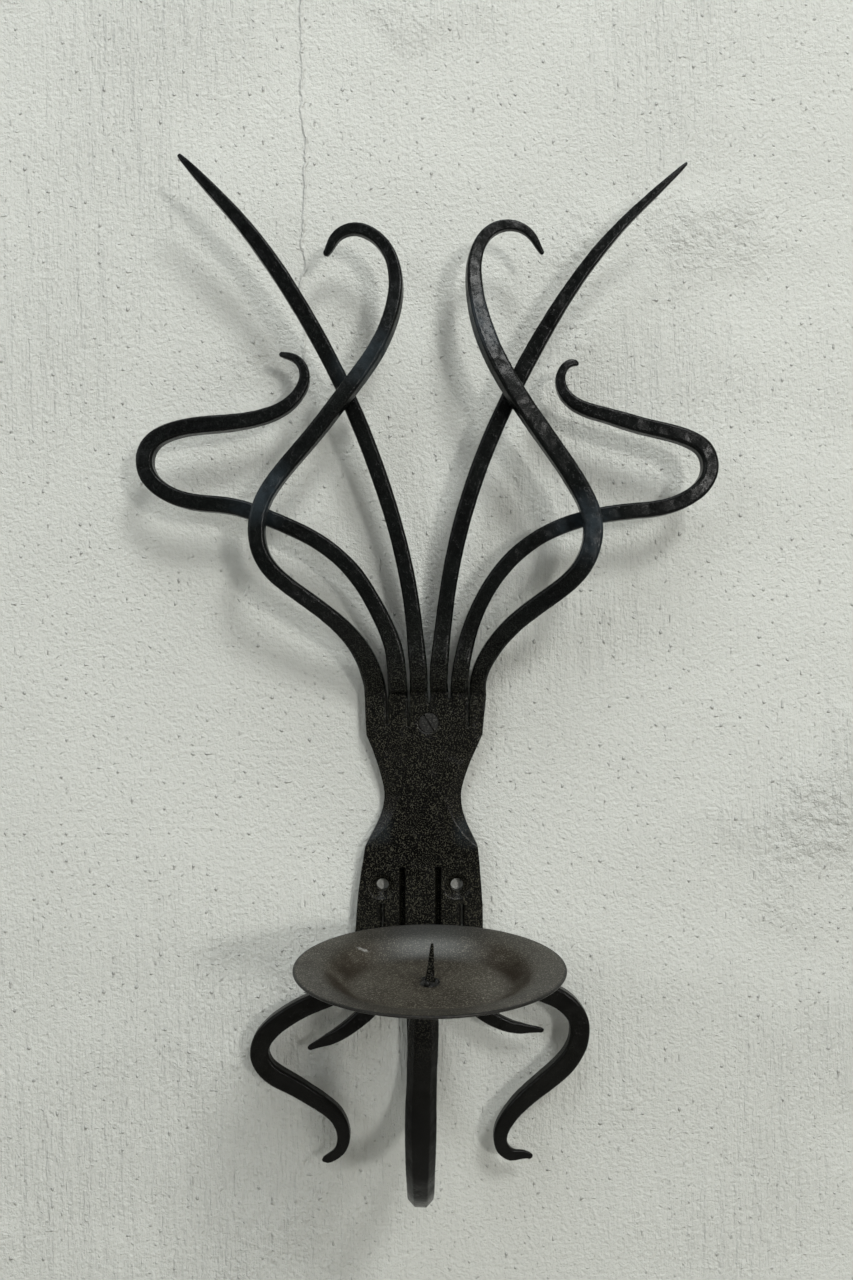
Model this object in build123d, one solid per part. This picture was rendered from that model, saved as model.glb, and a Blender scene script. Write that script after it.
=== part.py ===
from build123d import *
import math
import os
from typing import NamedTuple

# Forged wall sconce for one candle: a necked flat bar, slit at both ends. The upper end is drawn out into six
# tines, the lower end into four tendrils and the arm, which turns forward in a U and carries the drip pan.
#
# Millimetres. +Z is up, the wall is the plane Y = 0 and the sconce stands out from it towards -Y.
# The origin is on the wall, midway between the two lower screw holes.

os.makedirs("parts", exist_ok=True)

# Flat bar
BAR_T = 8.0  # thickness of the bar
TOP_W = 59.6  # width where the tines leave
UPPER_SHOULDER_W = 56.8
NECK_W = 42.2  # width a little above and below the waist
WAIST_W = 37.9
LOWER_SHOULDER_W = 55.2
HIP_W = 60.0  # width beside the lower screw holes
FOOT_W = 62.6  # width where the tendrils leave
TOP_Z = 92.0
UPPER_SHOULDER_Z = 74.0
WAIST_Z = 44.0
WAIST_RUN = 11.0  # the neck's width is given this far above and below the waist
SHOULDER_SLOPE = 0.48  # across per unit of height, where the neck meets a shoulder
LOWER_SHOULDER_Z = 19.5
FOOT_Z = -25.0
LEAN = 0.0262  # the bar leans to the right by this much of its height
CENTRE_X = 0.3  # the bar's middle, at the height of the lower holes
BEVEL = 3.0  # how far the neck's front edges are hammered back at the waist
WAIST_FLAT = 11.0  # half width of the flat that is left on the front of the waist

# Slits. The tines' kerfs are sawn, and the lower ones are chisel cuts with a V-shaped mouth.
KERF = 1.0
KERF_X = (-16.0, -5.5, 4.5, 14.5, 24.0)
KERF_END_Z = (79.0, 78.0, 89.0, 75.0, 77.5)
CUT = 0.8
INNER_CUT_MOUTH = 3.2
OUTER_CUT_MOUTH = 2.6
CUT_MOUTH_DEPTH = 6.0
OVERCUT = 1.0  # how far a cut runs past the end of the bar
INNER_CUT_X = (-8.5, 9.0)
INNER_CUT_END_Z = 9.5
OUTER_CUT_X = (-18.4, 20.7)
OUTER_CUT_END_Z = -8.5

# Screws and their holes
HOLE_SPACING = 36.6  # between the two lower holes
HOLE_D = 6.0
SINK_D = 13.0  # mouth of the lower countersinks
TOP_HOLE_X = 4.4
TOP_HOLE_Z = 80.0
SCREW_D = 5.0
SCREW_HEAD_D = 9.6
SCREW_LENGTH = 38.0
SCREW_SINK = 0.5  # how far the screw's head lies under the bar's face
SCREW_CLEARANCE = 0.25  # all round the shank
SCREW_SLOT_W = 1.2
SCREW_SLOT_DEPTH = 1.3
SCREW_SLOT_TURN = 58.0
SCREW_CORE_D = 3.6  # the threaded length's core
SCREW_PLAIN = 11.0  # from the head's face to where the thread starts
SCREW_RUNOUT = 0.5  # length of the cone between the plain shank and the core
SCREW_POINT = 6.0  # length of the point
SINK_ANGLE = 90.0

# Arm
ARM_W = 12.8
ARM_BEND_W = 10.8  # width at the bottom of the U
ARM_TOP_W = 12.2  # width under the pan
ARM_T = 11.0
ARM_THICKENING = 0.8  # share of the rear limb over which the bar thickens to the arm
ARM_STATIONS = 4  # sections along each limb, and half as many as round the U
ARM_CORNER = 0.28  # corner facets, as a share of the section's smaller side
ARM_OFFSET = 2.3  # the arm's top end stands this far left of the pan's middle
ARM_DRIFT = 0.7  # the front limb's foot stands this far right of the rear limb
ARM_WALL_GAP = 0.6  # between the arm's rear limb and the wall
ARM_REACH = 90.0  # from the wall to the front limb's middle
BEND_Z = -78.5  # height of the U-bend's centre

# Drip pan and pricket
PAN_X = 4.6
PAN_D = 110.0
PAN_RIM_Z = -10.1
PAN_T = 1.6
WELL_D = 82.0  # where the flared rim turns down into the well
FLOOR_D = 62.0  # the well's flat floor
WELL_DEPTH = 8.4
RIM_RISE = 2.8  # how far the flared rim climbs
RIM_SLOPE = 0.06  # the rim's slope at its edge
WELL_CURL = (0.6, 0.8)  # how full the curve is where it leaves the floor and where it meets the rim's edge
EDGE_ROUND = 0.5  # how far the rim's rounded edge bulges
PRICKET_H = 16.4
PRICKET_FOOT = 4.0
PRICKET_TIP = 1.2
PRICKET_NECK = 0.8  # share of the height at which the point begins
PRICKET_LEAN = 1.0
TENON_D = 4.0
TENON_LENGTH = 9.0
TENON_CLEARANCE = 0.1
WELD_D = 8.4
WELD_H = 1.7
WELD_LUMPS = ((5, 1.5), (140, 1.7), (250, 1.4))  # angle and radius of each lump of the bead

# Drawn-out strips
STATION_STEP = 7.0  # spacing of the sections along a drawn strip
ROOT_BLEND = 0.2  # share of the length over which the strip shrinks to its body's size
TIP_ROUNDING = 0.4  # length of the blunt end, as a share of the tip's size
TIP_END = 0.55  # size of the end's face, as a share of the tip's size
CORNER = 0.13  # corner facets, as a share of the section's smaller side


class Strip(NamedTuple):
    """One strip between two slits: its left and right side, and the height of the face it is drawn from."""

    left: float
    right: float
    z: float
    up: int


class Drawing(NamedTuple):
    """How a strip is drawn out. The route lists (across, along, out) from the middle of the strip's face."""

    route: list
    width: float
    thickness: float
    tip: float
    taper_from: float = 0.72
    taper_power: float = 0.6
    twist: tuple = ()


def centre_x(z):
    return CENTRE_X + LEAN * z


def side_x(side, width, z):
    """The bar's left (-1) or right (+1) edge at height z, where it is that wide."""
    return centre_x(z) + side * width / 2


def outline_side(side):
    """One long edge of the bar, from its foot to its top, with the neck's waist."""

    def point(width, z):
        return (side_x(side, width, z), z)

    low = point(LOWER_SHOULDER_W, LOWER_SHOULDER_Z)
    high = point(UPPER_SHOULDER_W, UPPER_SHOULDER_Z)
    neck = Spline(
        low,
        point(NECK_W, WAIST_Z - WAIST_RUN),
        point(WAIST_W, WAIST_Z),
        point(NECK_W, WAIST_Z + WAIST_RUN),
        high,
        tangents=[(-side * SHOULDER_SLOPE, 1), (side * SHOULDER_SLOPE, 1)],
        tangent_scalars=(1, 1),
    )
    return [Spline(point(FOOT_W, FOOT_Z), point(HIP_W, 0), low), neck, Line(high, point(TOP_W, TOP_Z))]


def blank():
    """The necked bar before it is slit, its back on the wall."""
    left, right = outline_side(-1), outline_side(1)
    ends = [Line(left[0] @ 0, right[0] @ 0), Line(left[-1] @ 1, right[-1] @ 1)]
    return extrude(Plane.XZ * make_face(Curve() + left + right + ends), amount=BAR_T)


def neck_bevel(side, up):
    """What the hammer takes off one front edge of the neck, between the waist and one shoulder."""
    upper, lower = (UPPER_SHOULDER_W, UPPER_SHOULDER_Z), (LOWER_SHOULDER_W, LOWER_SHOULDER_Z)
    shoulder_w, shoulder_z = upper if up > 0 else lower
    shoulder = Vector(side_x(side, shoulder_w, shoulder_z), -BAR_T, shoulder_z)
    flat = Vector(centre_x(WAIST_Z) + side * WAIST_FLAT, -BAR_T, WAIST_Z)
    edge = Vector(side_x(side, WAIST_W, WAIST_Z), BEVEL - BAR_T, WAIST_Z)
    outward = (shoulder - flat).cross(edge - flat).normalized()
    if outward.Y > 0:
        outward = -outward
    reach = 4 * BAR_T
    in_front = Plane(origin=flat, z_dir=outward) * Box(
        2 * TOP_W, 2 * TOP_W, reach, align=(Align.CENTER, Align.CENTER, Align.MIN)
    )
    height = abs(shoulder_z - WAIST_Z)
    beside = Pos(flat.X, -BAR_T, WAIST_Z) * Box(
        2 * TOP_W, 2 * reach, height, align=(Align.CENTER, Align.CENTER, Align.MIN if up > 0 else Align.MAX)
    )
    return in_front & beside


def kerf(x, end_z):
    """A saw cut from the top of the bar down to end_z."""
    return Pos(x, -BAR_T / 2, end_z) * Box(
        KERF, 2 * BAR_T, TOP_Z - end_z + OVERCUT, align=(Align.CENTER, Align.CENTER, Align.MIN)
    )


def chisel_cut(x, end_z, mouth_w):
    """A cut from the foot of the bar up to end_z, with a V-shaped mouth in the front face."""
    length = end_z - FOOT_Z + OVERCUT
    through = Pos(x, -BAR_T / 2, end_z) * Box(
        CUT, 2 * BAR_T, length, align=(Align.CENTER, Align.CENTER, Align.MAX)
    )
    upper, lower = mouth_w / 2, CUT / 2
    mouth = Polyline((-upper, 0), (upper, 0), (lower, CUT_MOUTH_DEPTH), (-lower, CUT_MOUTH_DEPTH), close=True)
    return through + Pos(x, -BAR_T, end_z - length) * extrude(make_face(mouth), amount=length)


def screw_hole(x, z, diameter, sink_d):
    """A hole through the bar with a countersink in its front face."""
    sink = (sink_d - diameter) / 2 / math.tan(math.radians(SINK_ANGLE / 2))
    into_bar = Plane(origin=(x, -BAR_T, z), z_dir=(0, 1, 0))
    align = (Align.CENTER, Align.CENTER, Align.MIN)
    hole = Cylinder(diameter / 2, 2 * BAR_T, align=align)
    return into_bar * (hole + Cone(sink_d / 2, diameter / 2, sink, align=align))


def wall_plate():
    plate = blank()
    for side in (-1, 1):
        plate -= neck_bevel(side, 1)
        plate -= neck_bevel(side, -1)
        plate -= screw_hole(side * HOLE_SPACING / 2, 0, HOLE_D, SINK_D)
    for x, end_z in zip(KERF_X, KERF_END_Z):
        plate -= kerf(x, end_z)
    for x in INNER_CUT_X:
        plate -= chisel_cut(x, INNER_CUT_END_Z, INNER_CUT_MOUTH)
    for x in OUTER_CUT_X:
        plate -= chisel_cut(x, OUTER_CUT_END_Z, OUTER_CUT_MOUTH)
    head_room = 2 * SCREW_CLEARANCE
    return plate - screw_hole(
        TOP_HOLE_X, TOP_HOLE_Z, SCREW_D + head_room, SCREW_HEAD_D + head_room + 2 * SCREW_SINK
    )


def upper_strips():
    """The six strips between the kerfs, from left to right."""
    lefts = [side_x(-1, TOP_W, TOP_Z)] + [x + KERF / 2 for x in KERF_X]
    rights = [x - KERF / 2 for x in KERF_X] + [side_x(1, TOP_W, TOP_Z)]
    return [Strip(a, b, TOP_Z, 1) for a, b in zip(lefts, rights)]


def lower_strips():
    """The five strips between the chisel cuts, from left to right."""
    cuts = (OUTER_CUT_X[0], INNER_CUT_X[0], INNER_CUT_X[1], OUTER_CUT_X[1])
    lefts = [side_x(-1, FOOT_W, FOOT_Z)] + [x + CUT / 2 for x in cuts]
    rights = [x - CUT / 2 for x in cuts] + [side_x(1, FOOT_W, FOOT_Z)]
    return [Strip(a, b, FOOT_Z, -1) for a, b in zip(lefts, rights)]


def section(origin, tangent, side, width, thickness, corner=CORNER, turn=0.0):
    """A rectangle with facetted corners, square to the tangent. Its width lies along side."""
    facet = corner * min(width, thickness)
    x, y = width / 2, thickness / 2
    corners = [(x, y - facet), (x - facet, y), (facet - x, y), (-x, y - facet)]
    corners += [(-across, -out) for across, out in corners]
    across_path = Plane(origin=origin, x_dir=side, z_dir=tangent).rotated((0, 0, turn))
    return across_path * Polyline(*corners, close=True)


def smooth(f):
    """0 to 1 as f goes from 0 to 1, with level ends."""
    f = min(max(f, 0.0), 1.0)
    return f * f * (3 - 2 * f)


def drawn_size(f, root, body, drawing):
    """The size of a drawn strip at the share f of its length: the root's, then the body's, then the tip's."""
    size = root + (body - root) * smooth(f / ROOT_BLEND)
    taper = min(max((f - drawing.taper_from) / (1 - drawing.taper_from), 0.0), 1.0)
    return drawing.tip + (size - drawing.tip) * (1 - taper) ** drawing.taper_power


def twist_at(f, twist):
    """The turn of the section at the share f, in degrees: twist is (from, most at, back at, degrees)."""
    if not twist:
        return 0.0
    start, most, end, degrees = twist
    return degrees * (smooth((f - start) / (most - start)) if f < most else smooth((end - f) / (end - most)))


def drawn_strip(strip, drawing):
    """A strip that is drawn out, tapered and bent along its route, with a small blunt end."""
    root = Vector((strip.left + strip.right) / 2, -BAR_T / 2, strip.z)
    points = [root] + [root + Vector(across, -out, strip.up * along) for across, along, out in drawing.route]
    path = Spline(*points, tangents=[(0, 0, strip.up), points[-1] - points[-2]], tangent_scalars=(1, 1))
    tip_start = 1 - TIP_ROUNDING * drawing.tip / path.length
    steps = round(path.length / STATION_STEP)
    sections = []
    for f in [tip_start * i / steps for i in range(steps + 1)] + [1.0]:
        side = (path % f).cross(Vector(0, -1, 0)).normalized()
        width = drawn_size(f, strip.right - strip.left, drawing.width, drawing)
        thickness = drawn_size(f, BAR_T, drawing.thickness, drawing)
        blunt = TIP_END if f == 1.0 else 1.0
        turn = twist_at(f, drawing.twist)
        sections.append(section(path @ f, path % f, side, blunt * width, blunt * thickness, turn=turn))
    return Solid.make_loft(sections[:-1]) + Solid.make_loft(sections[-2:], ruled=True)


# Routes of the drawn strips: across to the right, along the bar away from its neck, and out from the wall.
TINES = {
    "left_s_tine": Drawing(
        route=[
            (-1.7, 12, 5), (-5.6, 22, 10), (-17.5, 37, 19), (-35.5, 51, 24.5), (-50.5, 66, 28),
            (-52.4, 88, 28.5), (-42, 107, 26.5), (-27, 125, 26), (-11.2, 144.8, 27.5),
            (1.4, 163.2, 26), (9.5, 184, 23), (10.7, 198, 20.5), (8, 210, 19.5), (0, 220, 18.5),
            (-8.3, 223.2, 18), (-16.4, 221, 17.5), (-23.3, 211, 17),
        ],
        width=7.7, thickness=7.2, tip=1.8, taper_from=0.65, taper_power=0.3, twist=(0.45, 0.7, 0.95, -14.0),
    ),
    "left_hook_tine": Drawing(
        route=[
            (-0.2, 11, 8.5), (-1, 20, 9), (-8.9, 41.8, 11), (-21.7, 61.8, 13), (-36.6, 74.7, 14.5),
            (-57.5, 85, 16), (-79, 92, 17), (-102, 95.2, 18), (-118.9, 110, 18.5),
            (-116.9, 120.4, 18.5), (-106, 127.4, 18.5), (-85, 130.8, 18), (-62.5, 134.8, 17),
            (-52.2, 140, 16.5), (-45.9, 147.2, 16), (-44, 154.5, 15.5), (-47.3, 161.8, 15.2),
            (-56.4, 165.2, 15),
        ],
        width=7.8, thickness=7.6, tip=2.0, taper_from=0.78, taper_power=0.5,
    ),
    "left_spike_tine": Drawing(
        route=[
            (0, 11, 8), (-1.1, 25, 8.8), (-2.9, 42, 9.8), (-6.6, 64, 11), (-18.5, 106, 14),
            (-34.6, 146, 17), (-56, 186, 20), (-81.8, 222.7, 23), (-112, 254.8, 26),
        ],
        width=7.7, thickness=7.6, tip=1.2, taper_from=0.78, taper_power=0.42,
    ),
    "right_spike_tine": Drawing(
        route=[
            (-0.3, 11, 8), (0.8, 25, 8.8), (6, 64, 11), (17.2, 106, 14), (34.1, 145.7, 17),
            (55.8, 184.8, 20), (83, 220.5, 23), (115.4, 251, 26),
        ],
        width=8.0, thickness=7.6, tip=1.2, taper_from=0.6, taper_power=0.55,
    ),
    "right_hook_tine": Drawing(
        route=[
            (0.2, 11, 8.5), (2.2, 23, 9), (11.9, 49.8, 11.5), (25.2, 67.8, 13.5), (41.5, 79.5, 15),
            (60, 86.3, 16), (80, 89.5, 17), (101.2, 92.8, 18), (117.9, 108.2, 18.5),
            (115.7, 118.3, 18.5), (107, 124.2, 18.5), (87, 129.7, 18), (67, 135.8, 17),
            (57.8, 138.9, 16.5), (50.8, 144.2, 16), (47.8, 151.8, 15.5), (50.6, 159, 15.2),
            (56.8, 160.7, 15),
        ],
        width=7.5, thickness=7.4, tip=1.8, taper_from=0.8, taper_power=0.45,
    ),
    "right_s_tine": Drawing(
        route=[
            (0.7, 12, 5), (5.1, 22, 10), (16, 36, 19), (33.8, 49.8, 24), (46.2, 61.4, 27.6),
            (52, 80.5, 28.5), (44.4, 102, 26.5), (29.7, 123.8, 26), (15.8, 143.6, 27.5),
            (4.6, 164.8, 26), (-1.4, 185, 23), (-3, 200.3, 21), (-1.7, 211, 20), (6, 222.5, 19),
            (15.6, 224.8, 18.5), (23.5, 221.4, 18), (30.2, 211.6, 17.5),
        ],
        width=8.8, thickness=7.4, tip=1.7, taper_from=0.72, taper_power=0.62, twist=(0.45, 0.7, 0.95, 18.0),
    ),
}
TENDRILS = {
    "outer_left_tendril": Drawing(
        route=[
            (-2.5, 13, 2.5), (-9, 22, 4), (-19.5, 28, 5.5), (-28.5, 31.3, 6.5), (-38, 36.3, 7),
            (-49, 45.3, 7.5), (-52.3, 53, 7.5), (-50.3, 60, 7.5), (-38, 69, 7.5), (-24.4, 77.2, 7.5),
            (-15, 84.6, 8), (-11.5, 94, 8), (-14.1, 102.3, 8), (-22, 106.8, 8),
        ],
        width=9.2, thickness=7.0, tip=3.4, taper_from=0.6, taper_power=0.5,
    ),
    "inner_left_tendril": Drawing(
        route=[(-2, 16, 2), (-7, 29.3, 4), (-15.3, 38.1, 6), (-27.1, 46.2, 7.5), (-40.8, 52.4, 8)],
        width=8.4, thickness=6.5, tip=3.0, taper_from=0.45, taper_power=0.55,
    ),
    "inner_right_tendril": Drawing(
        route=[(2, 16, 2), (8, 28.3, 4), (17.5, 36.6, 6), (30.2, 41.9, 7.5), (45.4, 43.6, 8)],
        width=8.4, thickness=6.5, tip=3.2, taper_from=0.4, taper_power=0.75,
    ),
    "outer_right_tendril": Drawing(
        route=[
            (3, 11, 2.5), (13, 18.5, 4), (27, 23.2, 5.5), (41.8, 28.4, 6.5), (50.8, 38.5, 7),
            (50, 50.5, 7.5), (38.2, 65.3, 7.5), (25.6, 75.7, 7.5), (16.2, 86, 8), (12.9, 95.5, 8),
            (15.7, 102.2, 8), (28.6, 104.5, 8),
        ],
        width=9.6, thickness=7.0, tip=3.6, taper_from=0.62, taper_power=0.6,
    ),
}


def pan_floor_z():
    """The upper side of the pan's floor."""
    return PAN_RIM_Z - WELL_DEPTH


def candle_arm(strip):
    """The middle strip: down along the wall, forward in a U and up to the pan's underside."""
    rear_y = -ARM_WALL_GAP - ARM_T / 2
    bend_r = (ARM_REACH + rear_y) / 2
    root = Vector((strip.left + strip.right) / 2, -BAR_T / 2, FOOT_Z)
    halfway = Vector(root.X, rear_y, (FOOT_Z + BEND_Z) / 2)
    rear_end = Vector(root.X, rear_y, BEND_Z)
    lowest = Vector(root.X + ARM_DRIFT / 2, bend_r - ARM_REACH, BEND_Z - bend_r)
    front_foot = Vector(root.X + ARM_DRIFT, -ARM_REACH, BEND_Z)
    top = Vector(PAN_X - ARM_OFFSET, -ARM_REACH, pan_floor_z() - PAN_T)
    rear = Spline(root, halfway, rear_end, tangents=[(0, 0, -1)] * 2, tangent_scalars=(1, 1))
    bend = ThreePointArc(rear_end, lowest, front_foot)
    front = Spline(front_foot, top, tangents=[(0, 0, 1)] * 2, tangent_scalars=(1, 1))
    sections = []
    for i in range(ARM_STATIONS):
        u = i / ARM_STATIONS
        thickened = smooth(u / ARM_THICKENING)
        width = strip.right - strip.left + (ARM_W - strip.right + strip.left) * smooth(u)
        sections.append(arm_section(rear, u, width, BAR_T + (ARM_T - BAR_T) * thickened, thickened))
    for i in range(2 * ARM_STATIONS):
        u = i / (2 * ARM_STATIONS)
        width = ARM_W - (ARM_W - ARM_BEND_W) * math.sin(math.pi * u)
        sections.append(arm_section(bend, u, width, ARM_T))
    for i in range(ARM_STATIONS + 1):
        u = i / ARM_STATIONS
        sections.append(arm_section(front, u, ARM_W + (ARM_TOP_W - ARM_W) * u, ARM_T))
    return Solid.make_loft(sections) - tenon_hole(TENON_CLEARANCE)


def arm_section(limb, u, width, thickness, rounding=1.0):
    """The arm's section at the share u of one limb, its width lying across the wall."""
    tangent = limb % u
    side = (Vector(1, 0, 0) - tangent * tangent.X).normalized()
    return section(limb @ u, tangent, side, width, thickness, CORNER + (ARM_CORNER - CORNER) * rounding)


def tenon_hole(clearance):
    """The bore for the pricket's tenon, from above the pan's floor down into the arm."""
    depth = TENON_LENGTH + clearance
    return Pos(PAN_X, -ARM_REACH, pan_floor_z()) * Cylinder(
        TENON_D / 2 + clearance, depth, align=(Align.CENTER, Align.CENTER, Align.MAX)
    )


def drip_pan():
    """A round of sheet dished to a flat floor, with a wide, gently climbing rim."""
    rim_r, well_r, floor_r = PAN_D / 2 - EDGE_ROUND, WELL_D / 2, FLOOR_D / 2
    top = Spline(
        (floor_r, -WELL_DEPTH),
        (well_r, -RIM_RISE),
        (rim_r, 0),
        tangents=[(1, 0), (1, RIM_SLOPE)],
        tangent_scalars=WELL_CURL,
    )
    under = Pos(0, -PAN_T) * top
    edge = ThreePointArc(top @ 1, (PAN_D / 2, -PAN_T / 2), under @ 1)
    floor = Polyline(top @ 0, (0, -WELL_DEPTH), (0, -WELL_DEPTH - PAN_T), under @ 0)
    profile = make_face(Curve() + [top, edge, under, floor])
    pan = Pos(PAN_X, -ARM_REACH, PAN_RIM_Z) * revolve(Plane.XZ * profile, Axis.Z)
    return pan - tenon_hole(TENON_CLEARANCE)


def pricket_spike():
    """A forged square spike with a round tenon below its shoulder."""
    foot = Pos(PAN_X, -ARM_REACH, pan_floor_z())
    neck = PRICKET_FOOT - PRICKET_NECK * (PRICKET_FOOT - PRICKET_TIP)
    sections = []
    for f, size in ((0, PRICKET_FOOT), (PRICKET_NECK, neck), (1, PRICKET_TIP)):
        square = chamfer(Rectangle(size, size).vertices(), CORNER * size)
        sections.append(foot * Pos(PRICKET_LEAN * f, 0, PRICKET_H * f) * square)
    tenon = foot * Cylinder(TENON_D / 2, TENON_LENGTH, align=(Align.CENTER, Align.CENTER, Align.MAX))
    return loft(sections, ruled=True) + tenon


def pricket_weld(spike):
    """The lumpy bead that ties the spike's foot to the pan's floor."""
    foot = Pos(PAN_X, -ARM_REACH, pan_floor_z())
    align = (Align.CENTER, Align.CENTER, Align.MIN)
    bead = Cone(WELD_D / 2, PRICKET_FOOT / 2, WELD_H, align=align)
    for angle, lump_r in WELD_LUMPS:
        bead += Rot(0, 0, angle) * Pos(WELD_D / 2 - lump_r, 0, WELD_H / 2) * Sphere(lump_r)
    floor_up = Box(2 * WELD_D, 2 * WELD_D, 4 * WELD_H, align=align)
    return foot * (bead & floor_up) - spike


def wall_screw():
    """A countersunk wood screw with a slot, driven home in the top hole."""
    head_r, shank_r, core_r = SCREW_HEAD_D / 2, SCREW_D / 2, SCREW_CORE_D / 2
    head_h = (head_r - shank_r) / math.tan(math.radians(SINK_ANGLE / 2))
    profile = Polyline(
        (0, 0), (head_r, 0), (shank_r, head_h), (shank_r, SCREW_PLAIN), (core_r, SCREW_PLAIN + SCREW_RUNOUT),
        (core_r, SCREW_LENGTH - SCREW_POINT), (0, SCREW_LENGTH), close=True
    )
    slot = Rot(0, 0, SCREW_SLOT_TURN) * Box(2 * SCREW_HEAD_D, SCREW_SLOT_W, 2 * SCREW_SLOT_DEPTH)
    into_wall = Plane(origin=(TOP_HOLE_X, SCREW_SINK - BAR_T, TOP_HOLE_Z), z_dir=(0, 1, 0))
    return into_wall * (revolve(Plane.XZ * make_face(profile), Axis.Z) - slot)


def save(name, shape):
    """Writes one node's STEP."""
    export_step(shape, f"parts/{name}.step")
    print(f"{name}: {shape.volume:.0f} mm3, {len(shape.solids())} solid")


def main():
    save("wall_plate", wall_plate())
    for strip, (name, drawing) in zip(upper_strips(), TINES.items()):
        save(name, drawn_strip(strip, drawing))
    outer_left, inner_left, middle, inner_right, outer_right = lower_strips()
    for strip, (name, drawing) in zip((outer_left, inner_left, inner_right, outer_right), TENDRILS.items()):
        save(name, drawn_strip(strip, drawing))
    save("candle_arm", candle_arm(middle))
    save("drip_pan", drip_pan())
    spike = pricket_spike()
    save("pricket_spike", spike)
    save("pricket_weld", pricket_weld(spike))
    save("wall_screw", wall_screw())


main()
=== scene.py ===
"""A forged wall sconce for one candle: a slit bar with tines and tendrils, and an arm with a dished pan."""

import logging
import math
from dataclasses import dataclass, replace
from enum import Enum

import bmesh
import bpy
import numpy as np
from mathutils import Matrix, Vector

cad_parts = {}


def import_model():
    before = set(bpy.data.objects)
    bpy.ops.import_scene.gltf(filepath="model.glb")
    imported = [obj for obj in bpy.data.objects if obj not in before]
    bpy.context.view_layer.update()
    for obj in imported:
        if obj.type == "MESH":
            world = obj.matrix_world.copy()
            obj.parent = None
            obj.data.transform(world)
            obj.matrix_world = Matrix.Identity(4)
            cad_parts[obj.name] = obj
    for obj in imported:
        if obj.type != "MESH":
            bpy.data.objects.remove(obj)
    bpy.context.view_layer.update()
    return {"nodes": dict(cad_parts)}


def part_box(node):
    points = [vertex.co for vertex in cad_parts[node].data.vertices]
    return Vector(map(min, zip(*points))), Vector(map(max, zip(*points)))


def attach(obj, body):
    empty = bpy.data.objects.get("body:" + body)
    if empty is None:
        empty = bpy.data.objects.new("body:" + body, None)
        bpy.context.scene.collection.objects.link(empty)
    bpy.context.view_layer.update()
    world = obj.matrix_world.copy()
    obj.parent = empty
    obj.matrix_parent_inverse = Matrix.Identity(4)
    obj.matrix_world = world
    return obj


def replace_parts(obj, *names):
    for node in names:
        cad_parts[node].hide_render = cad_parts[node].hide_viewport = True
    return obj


LOG = logging.getLogger("sconce")
MM = 0.001
MERGE_GAP = 1e-6  # Points that are nearer to each other, in metres, become one.
PLANE_GAP = 1e-7  # Points that are nearer to a cut, in metres, lie on it.
BEYOND = 1.0  # Farther out than any piece, in metres.
STILL_TONE = 0.6  # The tone of a texture that moves nothing.
MOST_RIDGE = 1.5  # The highest value that a ridge gets.
LEAST_SQUARE = 1e-12  # Stands in for the square of an edge without length.
MIX_INPUTS = (0, 6, 7)  # The amount and the two colours of a colour mix.
MIX_RESULT = 2  # The mixed colour.
Colour = tuple[float, float, float, float]
Place = tuple[float, float, float]
Band = tuple[float, float]
Socket = bpy.types.NodeSocket


class Slot(Enum):
    """Names of the material slots."""

    FORGING = "forged_iron"
    PAN = "pan_iron"
    WELD = "weld_bead"
    SCREW = "screw_black"


class Tines(Enum):
    """The six tines that leave the top of the bar."""

    LEFT_S = "left_s_tine"
    LEFT_HOOK = "left_hook_tine"
    LEFT_SPIKE = "left_spike_tine"
    RIGHT_SPIKE = "right_spike_tine"
    RIGHT_HOOK = "right_hook_tine"
    RIGHT_S = "right_s_tine"


class LowerStrips(Enum):
    """The four tendrils and the arm that leave the foot of the bar."""

    OUTER_LEFT = "outer_left_tendril"
    INNER_LEFT = "inner_left_tendril"
    ARM = "candle_arm"
    INNER_RIGHT = "inner_right_tendril"
    OUTER_RIGHT = "outer_right_tendril"


# ---------------------------------------------------------------- node helpers


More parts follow.
